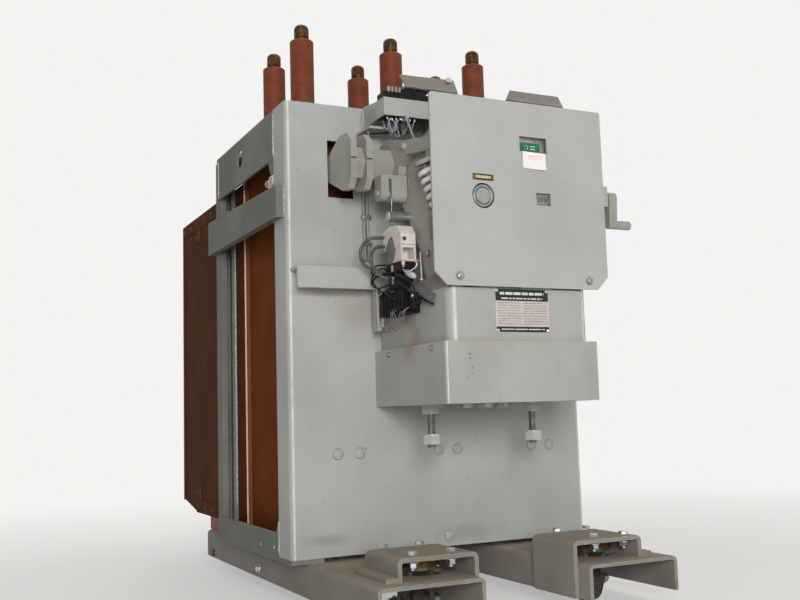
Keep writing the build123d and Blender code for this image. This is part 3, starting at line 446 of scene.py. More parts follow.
# Nodes that aren't in plain grey enamel
NODES_OF_FINISH = (
    (COVER_ENAMEL, ("front_cover",)),
    (BOX_ENAMEL, ("upper_box", "lower_box")),
    (MECHANISM_ENAMEL, ("main_crank", "mechanism_plates", "spring_caps", "interlock_arm")),
    (FRAME_ENAMEL_WORN_AND_SHADE, ("top_flaps", "base_rail_left", "base_rail_right", "caster_housings")),
    (SIDE_ENAMEL_DIRT_AND_SHADE, ("sills", "top_bands", "cross_bars", "rear_uprights")),
    (BUSHING, ("bushings_front", "bushings_rear")),
    (BARRIER_SIDE, ("barrier_sides", "phase_barriers")),
    (BARRIER_BACK, ("barrier_back",)),
    (INNER_BOARD, ("inner_barriers",)),
    (FRONT_BOARD, ("inner_front_board",)),
    (CHUTE_BOARD, ("arc_chutes",)),
    (RED_BLOCK, ("insulating_blocks",)),
    (RACE, ("caster_races",)),
    (FORK, ("caster_fork_left", "caster_fork_right")),
    (WHEEL_IRON_AND_SHADE, ("caster_wheel_left", "caster_wheel_right", "rear_wheels")),
    (BUTTON_GREY, ("trip_button",)),
    (BLACK_PHENOLIC_AND_SHADE, ("coupler_block", "terminal_blocks")),
    (CREAM, ("latch_block",)),
    (ZINC, ("plate_roller",)),
    (DULL_ZINC, ("position_flag",)),
    (CAM_GREY, ("operation_counter",)),
)
FINISH_OF_NODE = {node: finish for finish, nodes in NODES_OF_FINISH for node in nodes}
for node_name, node_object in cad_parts.items():
    node_object.data.materials.clear()
    node_object.data.materials.append(FINISH_OF_NODE.get(node_name, GREY_ENAMEL))


# Mesh helpers


def join_rings(mesh, near, far):
    """Faces between two rings of points, or between a ring and a pole."""
    count = max(len(near), len(far))
    for step in range(count):
        after = (step + 1) % count
        if len(near) == 1:
            mesh.faces.new((near[0], far[step], far[after]))
        elif len(far) == 1:
            mesh.faces.new((near[step], far[0], near[after]))
        else:
            mesh.faces.new((near[step], far[step], far[after], near[after]))


def join_all(mesh, rings, capped=True):
    """Faces between each ring and the next, and over both ends."""
    for near, far in zip(rings, rings[1:]):
        join_rings(mesh, near, far)
    if capped:
        mesh.faces.new(rings[0])
        mesh.faces.new(rings[-1])


def around(reach, angle, along):
    """A point at an angle round the z axis, in metres from millimetres."""
    return Vector((reach * math.cos(angle), reach * math.sin(angle), along)) * MM


def add_turned(mesh, start, way, profile, steps=32, shape=None):
    """Turned solid of (distance, radius) rings along a way, closed where the radius is 0.
    A shape gives each angle its own share of the radius."""
    turn = Vector(way).to_track_quat("Z", "Y")
    rings = []
    for distance, radius in profile:
        ring = []
        for step in range(steps if radius else 1):
            angle = math.tau * step / steps
            reach = radius * (shape(angle) if shape else 1.0)
            ring.append(mesh.verts.new(Vector(start) + turn @ around(reach, angle, distance)))
        rings.append(ring)
    join_all(mesh, rings, capped=False)


def rod(radius, height, chamfer=None, start=0):
    """Outline of a disc or rod for add_turned, its far edge chamfered (along, across)."""
    outline = [(start, 0), (start, radius)]
    if chamfer:
        along, across = chamfer
        outline += [(height - along, radius), (height, radius - across)]
    else:
        outline.append((height, radius))
    return outline + [(height, 0)]


def hexagon(angle):
    """Share of the across-flats radius at an angle round a hexagon."""
    return 1.0 / math.cos((angle % (math.pi / 3)) - math.pi / 6)


def add_hexagon_head(mesh, start, way, across, height):
    """Hexagonal head or nut: a hexagon, and on it the round face that its corners end in."""
    flat = across / 2
    shoulder = height * 0.86
    add_turned(mesh, start, way, rod(flat, shoulder), 24, hexagon)
    face = [(height * 0.5, 0), (shoulder, flat * 1.02), (height, flat * 0.94), (height, 0)]
    add_turned(mesh, start, way, face, 24)


def add_block(mesh, low, high, bevel=0.0):
    """Box between two corners from the front plate, its edges rounded."""
    low, high = at(*low), at(*high)
    place = Matrix.Translation((low + high) / 2) @ Matrix.Diagonal((*(high - low), 1.0))
    made = bmesh.ops.create_cube(mesh, size=1.0, matrix=place)
    if bevel:
        edges = list(dict.fromkeys(edge for vert in made["verts"] for edge in vert.link_edges))
        bmesh.ops.bevel(mesh, geom=edges, offset=bevel * MM, segments=2, profile=0.6, affect="EDGES")


def smooth_line(points, steps):
    """Points on a smooth line through the given ones, which are given from the front plate."""
    points = [at(*point) for point in points]
    points = [points[0] * 2 - points[1]] + points + [points[-1] * 2 - points[-2]]
    line = []
    for a, b, c, d in zip(points, points[1:], points[2:], points[3:]):
        slope = c - a
        bend = 2 * a - 5 * b + 4 * c - d
        twist = 3 * b - a - 3 * c + d
        for step in range(steps):
            t = step / steps
            line.append(0.5 * (2 * b + slope * t + bend * t**2 + twist * t**3))
    line.append(points[-2])
    return line


def add_tube(mesh, line, width, height, sides):
    """Round or flat tube along a line of points in metres, closed at both ends."""
    side = Vector((0.3, 0.2, 1.0))
    rings = []
    for index, point in enumerate(line):
        ahead = (line[min(index + 1, len(line) - 1)] - line[max(index - 1, 0)]).normalized()
        side = (side - ahead * side.dot(ahead)).normalized()
        across = ahead.cross(side)
        ring = []
        for step in range(sides):
            angle = math.tau * step / sides
            reach = side * (height / 2 * math.cos(angle)) + across * (width / 2 * math.sin(angle))
            ring.append(mesh.verts.new(point + reach * MM))
        rings.append(ring)
    join_all(mesh, rings)


def hand_over(piece, body="root", replaced=()):
    """Says what a piece rides and the nodes it replaces."""
    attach(piece, body)
    if replaced:
        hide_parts(*replaced)


def finish_piece(name, mesh, material, replaced=(), smooth_below=35.0):
    """Turns mesh code into a piece that stays with the breaker's frame."""
    bmesh.ops.remove_doubles(mesh, verts=mesh.verts, dist=1e-6)
    bmesh.ops.recalc_face_normals(mesh, faces=mesh.faces)
    data = bpy.data.meshes.new(name)
    mesh.to_mesh(data)
    mesh.free()
    data.materials.append(material)
    data.shade_smooth()
    data.set_sharp_from_angle(angle=math.radians(smooth_below))
    piece = bpy.data.objects.new(name, data)
    scene.collection.objects.link(piece)
    hand_over(piece, replaced=replaced)


def blocks(name, material, corners, bevel=0.0, replaced=()):
    """Piece made of boxes, given as (low, high) corners or as (low, high, bevel)."""
    mesh = bmesh.new()
    for low, high, *own_bevel in corners:
        add_block(mesh, low, high, *(own_bevel or [bevel]))
    finish_piece(name, mesh, material, replaced)


def turned(name, material, starts, way, profile, steps=24, replaced=()):
    """Piece made of one turned shape at each of its starts."""
    mesh = bmesh.new()
    for start in starts:
        add_turned(mesh, at(*start), way, profile, steps)
    finish_piece(name, mesh, material, replaced)


def wires(name, material, routes, width, height=None, steps=6, sides=8, smooth_below=60.0):
    """Bunch of short fixed wires, each through its own points."""
    mesh = bmesh.new()
    for route in routes:
        add_tube(mesh, smooth_line(route, steps), width, height or width, sides)
    finish_piece(name, mesh, material, smooth_below=smooth_below)


def left_and_right(low, high):
    """Corners of one box on the left and the same on the right, from those on the right."""
    (x0, y0, z0), (x1, y1, z1) = low, high
    return [((-x1, y0, z0), (-x0, y1, z1)), (low, high)]


# Fasteners, repeated by one geometry nodes tree


def fastener_tree():
    """Puts one fastener on every point, its axis along the point's facing, turned at random."""
    tree = bpy.data.node_groups.new("fasteners_on_points", "GeometryNodeTree")
    kinds = {
        "Geometry": "Geometry",
        "Fastener": "Object",
        "Finish": "Material",
        "Size": "Float",
        "Seed": "Int",
    }
    for name, kind in kinds.items():
        tree.interface.new_socket(name, in_out="INPUT", socket_type="NodeSocket" + kind)
    tree.interface.new_socket("Geometry", in_out="OUTPUT", socket_type="NodeSocketGeometry")
    given = put(tree, "NodeGroupInput").outputs
    facing = put(tree, "GeometryNodeInputNamedAttribute", {"Name": "facing"}, data_type="FLOAT_VECTOR")
    aligned = put(tree, "FunctionNodeAlignRotationToVector", {"Vector": facing.outputs[0]}, axis="Z")
    shape = put(tree, "GeometryNodeObjectInfo", {"Object": given["Fastener"]}, transform_space="ORIGINAL")
    on_points = {"Points": given["Geometry"], "Instance": shape.outputs["Geometry"]}
    on_points |= {"Rotation": aligned.outputs[0], "Scale": given["Size"]}
    placed = put(tree, "GeometryNodeInstanceOnPoints", on_points).outputs[0]
    spin = put(tree, "FunctionNodeRandomValue", {"Seed": given["Seed"]}, data_type="FLOAT").outputs[1]
    about = put(tree, "ShaderNodeCombineXYZ", {"Z": times(tree, spin, math.tau)}).outputs[0]
    turn = put(tree, "GeometryNodeRotateInstances", {"Instances": placed, "Rotation": about}).outputs[0]
    real = put(tree, "GeometryNodeRealizeInstances", {"Geometry": turn}).outputs[0]
    finish = put(tree, "GeometryNodeSetMaterial", {"Geometry": real, "Material": given["Finish"]}).outputs[0]
    put(tree, "NodeGroupOutput", {"Geometry": finish})
    return tree


FASTENER_TREE = fastener_tree()


def fastener_pattern(shape):
    """Object that holds one fastener, its foot at the origin and its axis upwards."""
    mesh = bmesh.new()
    shape(mesh)
    bmesh.ops.recalc_face_normals(mesh, faces=mesh.faces)
    data = bpy.data.meshes.new("pattern")
    mesh.to_mesh(data)
    mesh.free()
    data.shade_smooth()
    data.set_sharp_from_angle(angle=math.radians(32))
    pattern = bpy.data.objects.new("pattern", data)
    scene.collection.objects.link(pattern)
    return pattern


def fasteners(name, shape, places, material, body="root", size=1.0, seed=1):
    """Repeats one fastener at (place, facing) pairs, as one piece; the seed sets their turns."""
    pattern = fastener_pattern(shape)
    points = bpy.data.meshes.new(name + "_points")
    points.from_pydata([at(*place) for place, facing in places], [], [])
    ways = points.attributes.new("facing", "FLOAT_VECTOR", "POINT")
    for item, (place, facing) in zip(ways.data, places):
        item.vector = facing
    piece = bpy.data.objects.new(name, points)
    scene.collection.objects.link(piece)
    modifier = piece.modifiers.new("fasteners", "NODES")
    modifier.node_group = FASTENER_TREE
    values = {"Fastener": pattern, "Finish": material, "Size": size, "Seed": seed}
    for socket in FASTENER_TREE.interface.items_tree:
        if socket.in_out == "INPUT" and socket.name in values:
            modifier[socket.identifier] = values[socket.name]
    evaluated = piece.evaluated_get(bpy.context.evaluated_depsgraph_get())
    solid = bpy.data.meshes.new_from_object(evaluated)
    piece.modifiers.remove(modifier)
    piece.data = solid
    solid.name = name
    bpy.data.objects.remove(pattern)
    hand_over(piece, body)


# Shapes of fasteners: half-inch bolts and nuts, made smaller by a size

ORIGIN = Vector((0, 0, 0))
HALF_INCH_FLATS = 19.0
WASHER_TOP = 2.0
NUT_HEIGHT = 10.0


def over_origin(height):
    """A point above the origin, in metres from millimetres."""
    return Vector((0, 0, height * MM))


def hexagon_bolt(mesh):
    """Bolt head on its plain washer."""
    add_turned(mesh, ORIGIN, UP, rod(14, WASHER_TOP, (0.6, 0.6)))
    add_hexagon_head(mesh, over_origin(WASHER_TOP), UP, HALF_INCH_FLATS, 8.0)


def hexagon_nut(mesh):
    """Nut on its washer, with the bolt's end standing out of it."""
    add_turned(mesh, ORIGIN, UP, rod(13.5, WASHER_TOP, (0.4, 0.5)))
    add_hexagon_head(mesh, over_origin(WASHER_TOP), UP, HALF_INCH_FLATS, NUT_HEIGHT)
    add_turned(mesh, over_origin(WASHER_TOP + NUT_HEIGHT), UP, rod(6.2, 4.6, (1.0, 1.0)), 20)


def plain_hexagon_head(mesh):
    """Flat hexagon head without a washer."""
    add_hexagon_head(mesh, ORIGIN, UP, HALF_INCH_FLATS, 7.0)


def round_head(mesh):
    """Carriage bolt head, a low dome on a short straight rim."""
    rim, rise, radius = 1.2, 4.0, 10.4
    dome = [(rim + rise * math.sin(a), radius * math.cos(a)) for a in (0.35, 0.7, 1.0, 1.3)]
    add_turned(mesh, ORIGIN, UP, [(0, 0), (0, 10.5), (rim, radius)] + dome + [(rim + rise, 0)], 28)


def add_half_head(mesh, side):
    """Half of a pan head, cut off at one side of its slot."""
    half_slot = 0.6
    half = bmesh.new()
    add_turned(half, ORIGIN, UP, [(0.8, 0), (0.8, 5.6), (2.0, 5.6), (3.0, 5.0), (3.6, 3.6), (3.8, 0)], 24)
    cut = bmesh.ops.bisect_plane(
        half,
        geom=half.verts[:] + half.edges[:] + half.faces[:],
        plane_co=(0, half_slot * MM * side, 0),
        plane_no=(0, -side, 0),
        clear_outer=True,
    )
    rim = [item for item in cut["geom_cut"] if isinstance(item, bmesh.types.BMEdge)]
    bmesh.ops.holes_fill(half, edges=rim)
    part = bpy.data.meshes.new("half_head")
    half.to_mesh(part)
    half.free()
    mesh.from_mesh(part)
    bpy.data.meshes.remove(part)


def slotted_head(mesh):
    """Pan-head screw with a straight slot, on a small washer."""
    washer_top, slot_floor = 0.8, 2.0
    add_turned(mesh, ORIGIN, UP, rod(8.0, washer_top), 24)
    for side in (1, -1):
        add_half_head(mesh, side)
    add_turned(mesh, ORIGIN, UP, rod(5.0, slot_floor, start=washer_top), 24)


def weld_ripple(mesh):
    """One ripple of a weld bead, a flattened drop."""
    drop = [(-1.2, 0), (-1.0, 2.2), (0.0, 3.4), (0.8, 2.8), (1.5, 1.6), (1.8, 0)]
    add_turned(mesh, ORIGIN, UP, drop, 12)


def both_sides(places):
    """The same places and facings on the left and on the right."""
    mirrored = [((-x, y, z), (-way[0], way[1], way[2])) for (x, y, z), way in places]
    return places + mirrored


# Frame, casters and barrier


def caster_bolts():
    """Four bolts through each housing into its race, with their nuts below."""
    race_plate = 4.0
    race_plate_bottom = Span("caster_races").top - race_plate
    columns, rows = (-192, -125, 151, 214), (-235, -129)
    places = [(x, y) for x in columns for y in rows]
    heads = [((x, y, HOUSINGS.top), UP) for x, y in places]
    nuts = [((x, y, race_plate_bottom), DOWN) for x, y in places]
    fasteners("caster_bolts", plain_hexagon_head, heads, ZINC, size=0.75, seed=3)
    fasteners("caster_nuts", hexagon_nut, nuts, ZINC, size=0.78, seed=4)


def caster_axle_nuts():
    """Nuts on the caster axles, and the washer that each stands on."""
    axle = (-169, 35)
    for side in ("left", "right"):
        fork = Span("caster_fork_" + side)
        places = [((fork.left, *axle), LEFT), ((fork.right, *axle), RIGHT)]
        name = "caster_axle_nuts_" + side
        body = "fork_" + side
        fasteners(name, hexagon_nut, places, DULL_ZINC, body=body, size=0.85, seed=18)


def frame_bolts():
    """Bolts and screws of the side frames and the front plate."""
    rail = both_sides([((-278, 266, 42), LEFT)])
    fasteners("rail_bolts", hexagon_bolt, rail, ZINC, size=0.62, seed=5)
    sill = both_sides([((PLATE.left, 168, 101), LEFT), ((PLATE.left, 90, 103), LEFT)])
    fasteners("sill_screws", slotted_head, sill, DULL_ZINC, size=0.5, seed=17)
    front = [((x, PLATE.front, 266), FRONT) for x in (-216, -174, -14, 25, 188, 230)]
    front.append(((2, PLATE.front, 109), FRONT))
    fasteners("front_plate_bolts", round_head, front, HEAD_PAINT, seed=6)


def box_bolts():
    """Nuts under the lower box, and the bolts of the mechanism's plate and lever."""
    under = [((x, -133, LOWER_BOX.bottom), DOWN) for x in (-28, 4, 14, 43)]
    fasteners("lower_box_nuts", plain_hexagon_head, under, NUT_ENAMEL, size=1.05, seed=7)
    beside = [((-78, -118, LOWER_BOX.bottom), DOWN)]
    fasteners("stud_side_bolt", plain_hexagon_head, beside, NUT_ENAMEL, size=0.8, seed=10)
    plate = [((MECHANISM_PLATES.left, -181, 600), LEFT)]
    fasteners("plate_bolt", hexagon_bolt, plate, DULL_ZINC, size=0.55, seed=8)
    lever = [((-134, -134, 796), LEFT)]
    fasteners("lever_bolt", hexagon_bolt, lever, MECHANISM_ENAMEL, size=0.55, seed=9)


def base_packers():
    """Packing strips between the base rails and the front plate's bottom edge, in dark iron colour as a
    painted shade line under the plate.
    """
    strip = left_and_right((99, 14, 81.5), (276, 60, 90.5))
    blocks("base_packers", WHEEL_IRON_AND_SHADE, strip, 0.5)


def barrier_back_sheet():
    """Back sheet of the box barrier, battened along its edges and down its middle."""
    left, right, bottom, top = BARRIER.left, BARRIER.right, BACK_BOARD.bottom, BACK_BOARD.top
    batten = 26.0
    sheet_back = BACK_BOARD.back - 2.4
    batten_front = sheet_back - 0.5
    batten_back = BACK_BOARD.back - 0.9
    sheet = [((left, BACK_BOARD.front, bottom), (right, sheet_back, top))]
    blocks("barrier_back_sheet", BARRIER_BACK, sheet, 0.8, replaced=("barrier_back",))
    battens = []
    for low, high in ((bottom, bottom + batten), (top - batten, top)):
        battens.append(((left, batten_front, low), (right, batten_back, high)))
    columns = (left + batten / 2, -103, 103, right - batten / 2)
    for middle in columns:
        low = (middle - batten / 2, batten_front, bottom + batten)
        battens.append((low, (middle + batten / 2, batten_back, top - batten)))
    blocks("barrier_back_battens", BATTEN, battens, 0.4)
    screw_seat = batten_back - 0.9
    pitches_up, end_up, pitches_across, end_across = 7, 50, 6, 60
    screws = []
    for step in range(pitches_up + 1):
        z = bottom + end_up + step * (top - bottom - 2 * end_up) / pitches_up
        screws += [((x, screw_seat, z), BACK) for x in columns]
    for step in range(pitches_across + 1):
        x = left + end_across + step * (right - left - 2 * end_across) / pitches_across
        screws += [((x, screw_seat, z), BACK) for z in (bottom + batten / 2, top - batten / 2)]
    fasteners("barrier_back_screws", slotted_head, screws, DARK_BRASS, size=0.44, seed=15)


def upright_edges():
    """Painted highlight strips on the inner edges of the rear uprights, seen through the side openings."""
    edges = left_and_right((268.6, 434.6, 153), (271.6, 436.4, 747))
    blocks("upright_edges", WELD_AND_EDGE_HIGHLIGHT, edges, 0.3)


def barrier_front_edges():
    """Sawn edges of the box barrier's side sheets, seen through the side openings, painted much paler than
    the boards' own sawn layers as a highlight.
    """
    edges = left_and_right((267.8, 363.6, BARRIER.bottom + 1), (270.6, 366, BARRIER.top - 1))
    blocks("barrier_front_edges", SAWN_EDGE_HIGHLIGHT, edges, 0.2)


def cover_screws():
    """Screws of the cover and of the lower box's sides, and the bolt of a flap."""
    screws = [((x, COVER.front, 549), FRONT) for x in (-111, 142)]
    fasteners("cover_screws", slotted_head, screws, DULL_ZINC, seed=11)
    box_sides = ((LOWER_BOX.left, LEFT), (LOWER_BOX.right, RIGHT))
    side = [((x, y, 437), way) for x, way in box_sides for y in (-221, -59)]
    fasteners("lower_box_screws", slotted_head, side, DULL_ZINC, size=0.7, seed=12)
    sloped = (0, -0.951, 0.309)
    flap = [((-22, -99.0, 937), sloped)]
    fasteners("flap_bolt", plain_hexagon_head, flap, ZINC, size=0.6, seed=13)


def barrier_screws():
    """Small screws along the strips and straps of the box barrier."""
    strip_middle, first, pitch = 15, 506, 64
    top_end, bottom_end, strap, strap_inset = 900, 780, 768, 50
    places = [(y, BARRIER.top - strip_middle) for y in range(first, top_end, pitch)]
    places += [(y, BARRIER.bottom + strip_middle) for y in range(first, bottom_end, pitch)]
    places += [(strap, BARRIER.top - strap_inset), (strap, BARRIER.bottom + strap_inset)]
    side = both_sides([((BARRIER.left, y, z), LEFT) for y, z in places])
    fasteners("barrier_side_screws", slotted_head, side, DARK_BRASS, size=0.5, seed=14)


def strap_end_chips():
    """Broken pale packing and a bent tab behind the front end of the left side strap."""
    chips = [((-303, 62, 752), (-296, 104, 771), 1.6), ((-306, 66, 760), (-300, 88, 778), 1.2)]
    chips.append(((-303, 100, 764), (-297, 118, 776), 1.2))
    blocks("strap_packing", CREAM, chips)
    heads = [((-306, 77, 770), LEFT), ((-303, 109, 770), LEFT)]
    fasteners("strap_packing_bolts", plain_hexagon_head, heads, DULL_ZINC, size=0.42, seed=19)


def weld_beads():
    """Welds between the front plate's returns, the bands and the cross bars."""
    pitch, shake_mm = 2.4, 0.5
    seams = (((64, 815), (64, 890)), ((10, 692), (10, 742)), ((436, 815), (436, 890)), ((64, 98), (64, 148)))
    shake = random.Random(5)
    bead = []
    for (y0, z0), (y1, z1) in seams:
        count = int(math.hypot(y1 - y0, z1 - z0) / pitch)
        for step in range(count + 1):
            t = step / count
            y = y0 + (y1 - y0) * t + shake.uniform(-shake_mm, shake_mm)
            bead.append(((PLATE.left, y, z0 + (z1 - z0) * t), LEFT))
    fasteners("weld_beads", weld_ripple, both_sides(bead), WELD_AND_EDGE_HIGHLIGHT, seed=16)


# Bushings, spring and studs


def contact_fingers():
    """Bronze tips with a groove at the root and a domed top."""
    tips = Span("contact_tips")
    radius, groove, dome_height = 15.0, 1.4, 11.5
    height = tips.top - tips.bottom
    shoulder = height - dome_height
    root = [(0, 0), (0, radius), (2.5, radius), (3.2, radius - groove), (5.6, radius - groove), (6.4, radius)]
    angles = (0, 0.3, 0.6, 0.85, 1.1, 1.3, 1.45)
    dome = [(shoulder + dome_height * math.sin(a), radius * math.cos(a)) for a in angles]
    starts = [(x, y, tips.bottom) for x in (-200, 0, 200) for y in (186, 360)]
    profile = root + dome + [(height, 0)]
    turned("contact_fingers", TIP, starts, UP, profile, 40, replaced=("contact_tips",))


def spring_coil():
    """Opening spring wound in round wire."""
    top = at(-122, -214, 746)
    bottom = at(-63, -214, 590)
    coil_radius, wire, pitch, steps = 25.4, 8.8, 13.2, 30
    turn = (bottom - top).to_track_quat("Z", "Y")
    length = (bottom - top).length / MM
    turns = length / pitch
    line = []
    for step in range(int(turns * steps) + 1):
        along = min(length, step / steps * pitch)
        line.append(top + turn @ around(coil_radius, math.tau * step / steps, along))
    mesh = bmesh.new()
    add_tube(mesh, line, wire, wire, 14)
    finish_piece("opening_spring_coil", mesh, SPRING_PAINT, ("opening_spring",))


def add_thread(mesh, start, way, length, radius, pitch):
    """Threaded rod: the radius rises and falls once in each pitch, all the way round."""
    rings_in_pitch, sides, flank = 6, 24, 0.6
    turn = Vector(way).to_track_quat("Z", "Y")
    rings = []
    count = int(length / pitch * rings_in_pitch)
    for index in range(count + 1):
        along = length * index / count
        ring = []
        for step in range(sides):
            share = (along / pitch - step / sides) % 1.0
            reach = radius - flank * abs(2.0 * share - 1.0) * pitch
            local = around(reach, math.tau * step / sides, along)
            ring.append(mesh.verts.new(start + turn @ local))
        rings.append(ring)
    join_all(mesh, rings)


def threaded_studs():
    """Studs under the lower box, each with a washer and nut at the top and a nut at its end."""
    studs = Span("box_studs")
    stud_y, stud_radius, pitch, hidden_end = -133, 6.9, 1.9, 0.5
    end_nut_bottom, end_nut, top_nut, washer = 280.5, (27.5, 17.5), (27.0, 13.0), 2.5
    threads = bmesh.new()
    mesh = bmesh.new()
    for x in (-98, 106):
        foot = at(x, stud_y, studs.bottom)
        add_thread(threads, foot, UP, studs.top - studs.bottom - hidden_end, stud_radius, pitch)
        add_hexagon_head(mesh, at(x, stud_y, end_nut_bottom), UP, *end_nut)
        add_hexagon_head(mesh, at(x, stud_y, studs.top - washer), DOWN, *top_nut)
        add_turned(mesh, at(x, stud_y, studs.top), DOWN, rod(14.4, washer, (0.3, 0.4)))
    finish_piece("threaded_studs", threads, DULL_ZINC, ("box_studs",))
    finish_piece("stud_nuts", mesh, NUT_ENAMEL)


# Front cover: plates, tag, flag, counter and trip button


def flat_plate(name, material, slot, x, z, y, thickness, bevel=0.2):
    """Thin plate on a face that looks to the front, from (left, right) and (bottom, top)."""
    blocks(name, material, [((x[0], y - thickness, z[0]), (x[1], y, z[1]))], bevel)


def marks(name, material, slot, rows, y, height, left, right, seed, share=(0.05, 0.16)):
    """Rows of short plain bars of uneven length, their shares of the row drawn at random."""
    bar_depth, gap_share, shortest = 0.15, 0.025, 1.0
    shake = random.Random(seed)
    width = right - left
    bars = []
    for z in rows:
        x = left
        while x < right - shortest:
            end = min(right, x + width * shake.uniform(*share))
            bars.append(((x, y - bar_depth, z), (end, y, z + height)))
            x = end + width * gap_share
    blocks(name, material, bars)


def rating_plate():
    """Etched plate on the upper box: a black band at the top and the bottom, and two columns
    of plain bars between."""
    left, right, bottom, top = -41.0, 63.0, 460.5, 532.6
    face, thickness, margin, band = UPPER_BOX.front, 0.8, 0.8, 0.25
    flat_plate("rating_plate", ALUMINIUM_PLATE, "zinc_steel", (left, right), (bottom, top), face, thickness)
    front = face - thickness
    inside = (left + margin, right - margin)
    for name, height in (("header", (512.5, 532.0)), ("footer", (461.1, 470.0))):
        flat_plate("rating_plate_" + name, PLATE_BLACK, "button_black", inside, height, front, band, 0)
    band_front = front - band
    lines = (
        ("header_bars", 522.5, 4.2, 9, 21, (0.08, 0.2)),
        ("header_small_bars", 515.4, 2.2, 12, 22, (0.05, 0.16)),
        ("footer_bars", 464.8, 1.6, 10, 23, (0.12, 0.3)),
    )
    for name, z, height, inset, seed, share in lines:
        ends = (left + inset, right - inset)
        marks(name, WHITE_INK, "zinc_steel", (z,), band_front, height, *ends, seed, share)
    rows = [474.0 + row * 4.3 for row in range(9)]
    for seed, side, ends in ((27, "left", (left + 4, left + 48)), (28, "right", (left + 55, right - 4))):
        name = "rating_rows_" + side
        marks(name, ETCHED_INK, "cream_moulding", rows, front, 1.3, *ends, seed, (0.08, 0.24))
    corners = [((x, band_front, z), FRONT) for x in (left + 3.5, right - 3.5) for z in (bottom + 3, top - 3)]
    fasteners("rating_plate_pins", round_head, corners, ZINC, size=0.28, seed=24)


def trip_label():
    """Small brass strip above the trip button, its middle filled black."""
    left, right, bottom, top = -82.0, -41.0, 708.0, 719.0
    face, thickness, ground = COVER.front, 0.7, 0.2
    flat_plate("trip_label", PLATE_BRASS, "tip_bronze", (left, right), (bottom, top), face, thickness)
    front = face - thickness
    inside = ((left + 2.5, right - 2.5), (bottom + 0.8, top - 0.8))
    flat_plate("trip_label_ground", PLATE_BLACK, "button_black", *inside, front, ground, 0)
    ends = (left + 6, right - 6)
    marks("trip_label_bars", IVORY_FILL, "tip_bronze", (711.5,), front - ground, 4.6, *ends, 25, (0.05, 0.1))
    pins = [((x, front, (bottom + top) / 2), FRONT) for x in (left + 2, right - 2)]
    fasteners("trip_label_pins", round_head, pins, BRASS, size=0.15, seed=26)


def card_point(u, v, depth):
    """A point of the card at shares of its width and height, its foot curled to the front."""
    width, height = 45.0, 29.0
    lean = math.radians(-2.5)
    left, face, top = 18.0, COVER.front - 0.2, 764.5
    curl = 2.6 * v**2.5 * (0.4 + 0.6 * u)
    x = u * width * math.cos(lean) + v * height * math.sin(lean)
    z = u * width * math.sin(lean) - v * height * math.cos(lean)
    return at(left + x, face - depth - curl, top + z)


def card_tag():
    """Blank card tag stuck below the flag window, a little turned and curled at its foot."""
    columns, rows, thickness = 10, 8, 0.4
    mesh = bmesh.new()
    layers = []
    for depth in (0.0, thickness):
        layer = {}
        for row in range(rows + 1):
            for column in range(columns + 1):
                layer[row, column] = mesh.verts.new(card_point(column / columns, row / rows, depth))
        layers.append(layer)
    for layer in layers:
        for r in range(rows):
            for c in range(columns):
                mesh.faces.new((layer[r, c], layer[r, c + 1], layer[r + 1, c + 1], layer[r + 1, c]))
    outline = [(0, c) for c in range(columns + 1)] + [(r, columns) for r in range(1, rows + 1)]
    outline += [(rows, c) for c in range(columns - 1, -1, -1)] + [(r, 0) for r in range(rows - 1, 0, -1)]
    near, far = layers
    for here, ahead in zip(outline, outline[1:] + outline[:1]):
        mesh.faces.new((near[here], near[ahead], far[ahead], far[here]))
    finish_piece("card_tag", mesh, TAG_CARD)
    card_front = COVER.front - 0.62
    marks("card_tag_bars", FAINT_INK, "cream_moulding", (756.0, 752.0), card_front, 1.6, 27, 58, 27)


def position_symbol():
    """Green plate on the position flag with a plain ring and two bars."""
    left, right, bottom, top = 16.0, 57.0, 762.0, 782.0
    thickness, ring_radius, ring_steps = 0.8, 3.4, 24
    face = FLAG.front
    flat_plate("flag_green_plate", GREEN, "flag_green", (left, right), (bottom, top), face, thickness)
    front = face - thickness
    middle = at((left + right) / 2 - 7, front, 773.5)
    line = []
    for step in range(ring_steps + 1):
        angle = math.tau * step / ring_steps
        x, z = ring_radius * math.cos(angle), ring_radius * math.sin(angle)
        line.append(middle + Vector((x, -0.1, z)) * MM)
    mesh = bmesh.new()
    add_tube(mesh, line, 1.2, 0.5, 8)
    bar_left = (left + right) / 2 + 1
    for low, high in ((770.5, 771.8), (775.0, 776.3)):
        add_block(mesh, (bar_left, face - 1.0, low), (bar_left + 10, front, high))
    finish_piece("flag_symbol", mesh, WHITE_INK)


def counter_drums():
    """Five drums in the counter's window, a plain bar on each, with the window's frame."""
    first, pitch, radius, width, middle = 45.5, 4.0, 6.3, 3.5, 684.5
    lefts = [first + step * pitch for step in range(5)]
    drum = [(0, 0), (0, 6), (0.3, radius), (3.2, radius), (width, 6), (width, 0)]
    starts = [(x, COUNTER.front + 4.2, middle) for x in lefts]
    turned("counter_drums", BUTTON_GREY, starts, RIGHT, drum, 30)
    front = COUNTER.front
    sides = (((41, 690), (70, 692.4)), ((41, 676.6), (70, 679)))
    sides += (((42, 676.6), (45, 692.4)), ((66.2, 676.6), (69, 692.4)))
    bars = [((x0, front - 1.4, z0), (x1, front, z1)) for (x0, z0), (x1, z1) in sides]
    blocks("counter_frame", DULL_ZINC, bars, 0.3)
    drum_bars = [((x + 0.9, front - 2.35, 681.2), (x + 2.4, front - 1.95, 687.2)) for x in lefts]
    blocks("counter_drum_marks", PLATE_BLACK, drum_bars)


